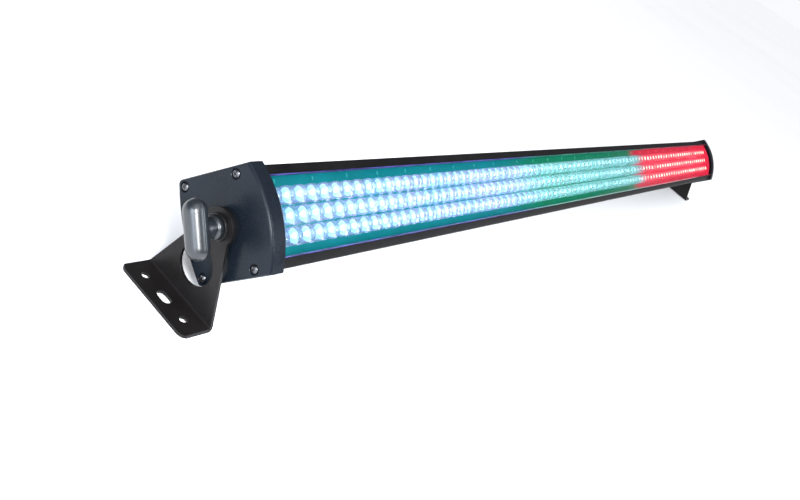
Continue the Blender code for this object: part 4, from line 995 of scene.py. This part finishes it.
def build_piece():
    for side_name, side in SIDES:
        make_cap(side_name, side)
        make_knob(side_name, side)
        make_foot(side_name)
        for number in range(1, 5):
            make_screw(f"cap_screw_{side_name}_{number}", (side, 0, 0), 0.35 + 1.1 * number + side)
    for number in range(1, 5):
        make_screw(f"panel_screw_{number}", REAR, 0.8 * number)
    for number in (1, 2):
        make_screw(f"supply_screw_{number}", REAR, 0.5 + number)
    make_housing()
    make_cover()
    for short in ("left", "middle", "right"):
        make_led_board(f"led_board_{short}")
    refine("panel", "rear_panel", PANEL_LOOK, 0.25 * MM)
    refine("inlet", "mains_inlet", SOCKET_LOOK, 0.3 * MM)
    refine("fuse_body", "fuse_holder", SOCKET_LOOK, 0.3 * MM)
    refine("fuse_knob", "fuse_cap", SOCKET_LOOK, 0.3 * MM)
    refine("data_in", "dmx_in_socket", METAL_LOOK, 0.25 * MM)
    refine("data_out", "dmx_out_socket", METAL_LOOK, 0.25 * MM)
    refine("data_latch", "dmx_out_latch", METAL_LOOK, 0.3 * MM)
    refine("display_window", "display", DISPLAY_LOOK, 0.3 * MM)
    make_figures()
    for number in range(1, 5):
        refine(f"button_{number}", f"menu_button_{number}", BUTTON_LOOK, 0.3 * MM)
    paint(
        {
            "knob_insert": BRASS_LOOK,
            "knob_stud": ZINC_LOOK,
            "board_standoff": ZINC_LOOK,
            "control_board": BOARD_LOOK,
            "power_supply": CASE_LOOK,
            "mains_lead": SHEATH_LOOK,
            "low_voltage": SHEATH_LOOK,
        }
    )


# ---------------------------------------------------------------- studio


def make_floor():
    """A large pale floor."""
    shape = bmesh.new()
    bmesh.ops.create_grid(shape, x_segments=8, y_segments=8, size=FLOOR_SIZE)
    mesh = bpy.data.meshes.new("floor")
    shape.to_mesh(mesh)
    shape.free()
    floor = bpy.data.objects.new("floor", mesh)
    floor.location.z = -FLOOR_DROP
    bpy.context.scene.collection.objects.link(floor)
    look = Look("pale_floor", Roughness=0.8, Specular_IOR_Level=0.2)
    cloud = look.noise(look.coordinates(), 1.2, 2.0)
    look.link(look.ramp(cloud, (0.3, (0.90, 0.90, 0.905)), (0.7, (0.93, 0.93, 0.93))), "Base Color")
    mesh.materials.append(look.material)


def make_light(name, place, aim, size, power, colour):
    """A soft rectangular lamp. Power is in watts."""
    data = bpy.data.lights.new(name, "AREA")
    data.shape = "RECTANGLE"
    data.size, data.size_y = size
    data.energy = power
    data.color = colour
    light = bpy.data.objects.new(name, data)
    light.location = place
    light.rotation_euler = (Vector(aim) - Vector(place)).to_track_quat("-Z", "Y").to_euler()
    bpy.context.scene.collection.objects.link(light)


def make_sun():
    """Even light from above for the whole floor."""
    data = bpy.data.lights.new("sun", "SUN")
    data.energy = SUN_STRENGTH
    data.angle = radians(SUN_SPREAD)
    sun = bpy.data.objects.new("sun", data)
    sun.rotation_euler = (radians(12), radians(-14), 0)
    bpy.context.scene.collection.objects.link(sun)


def make_world():
    """White behind the part, dimmer as a light and dimmer still in what mirrors it."""
    world = bpy.data.worlds.new("studio")
    bpy.context.scene.world = world
    world.use_nodes = True
    tree = world.node_tree
    background = tree.nodes["Background"]
    background.inputs["Color"].default_value = (0.95, 0.96, 1.0, 1)
    path = tree.nodes.new("ShaderNodeLightPath")
    level = tree.nodes.new("ShaderNodeMapRange")
    level.inputs["To Min"].default_value = WORLD_LIGHT
    level.inputs["To Max"].default_value = WORLD_MIRRORED
    tree.links.new(path.outputs["Is Glossy Ray"], level.inputs["Value"])
    seen = tree.nodes.new("ShaderNodeMath")
    seen.operation = "MAXIMUM"
    tree.links.new(path.outputs["Is Camera Ray"], seen.inputs[0])
    tree.links.new(level.outputs[0], seen.inputs[1])
    tree.links.new(seen.outputs[0], background.inputs["Strength"])


def make_studio():
    make_floor()
    make_world()
    make_sun()
    near_end = (-0.56, 0, 0.055)
    make_light("key", (-1.45, -0.95, 1.0), (-0.5, 0, 0.05), (0.32, 0.32), 44, (0.95, 0.98, 1))
    make_light("side", (-1.55, -0.21, 0.41), near_end, (0.5, 0.5), 11, (0.76, 0.86, 1))
    make_light("front", (-0.06, -0.67, 0.57), near_end, (0.15, 0.5), 7, (0.85, 0.92, 1))
    bpy.context.scene.view_settings.view_transform = "Standard"


def make_camera():
    data = bpy.data.cameras.new("camera")
    data.lens = CAMERA_LENS
    data.sensor_width = CAMERA_SENSOR
    data.clip_start, data.clip_end = 0.01, 200
    camera = bpy.data.objects.new("camera", data)
    camera.location = CAMERA_PLACE
    camera.rotation_euler = [radians(angle) for angle in CAMERA_TURN]
    bpy.context.scene.collection.objects.link(camera)
    bpy.context.scene.camera = camera


build_piece()
make_studio()
make_camera()

bpy.context.view_layer.update()
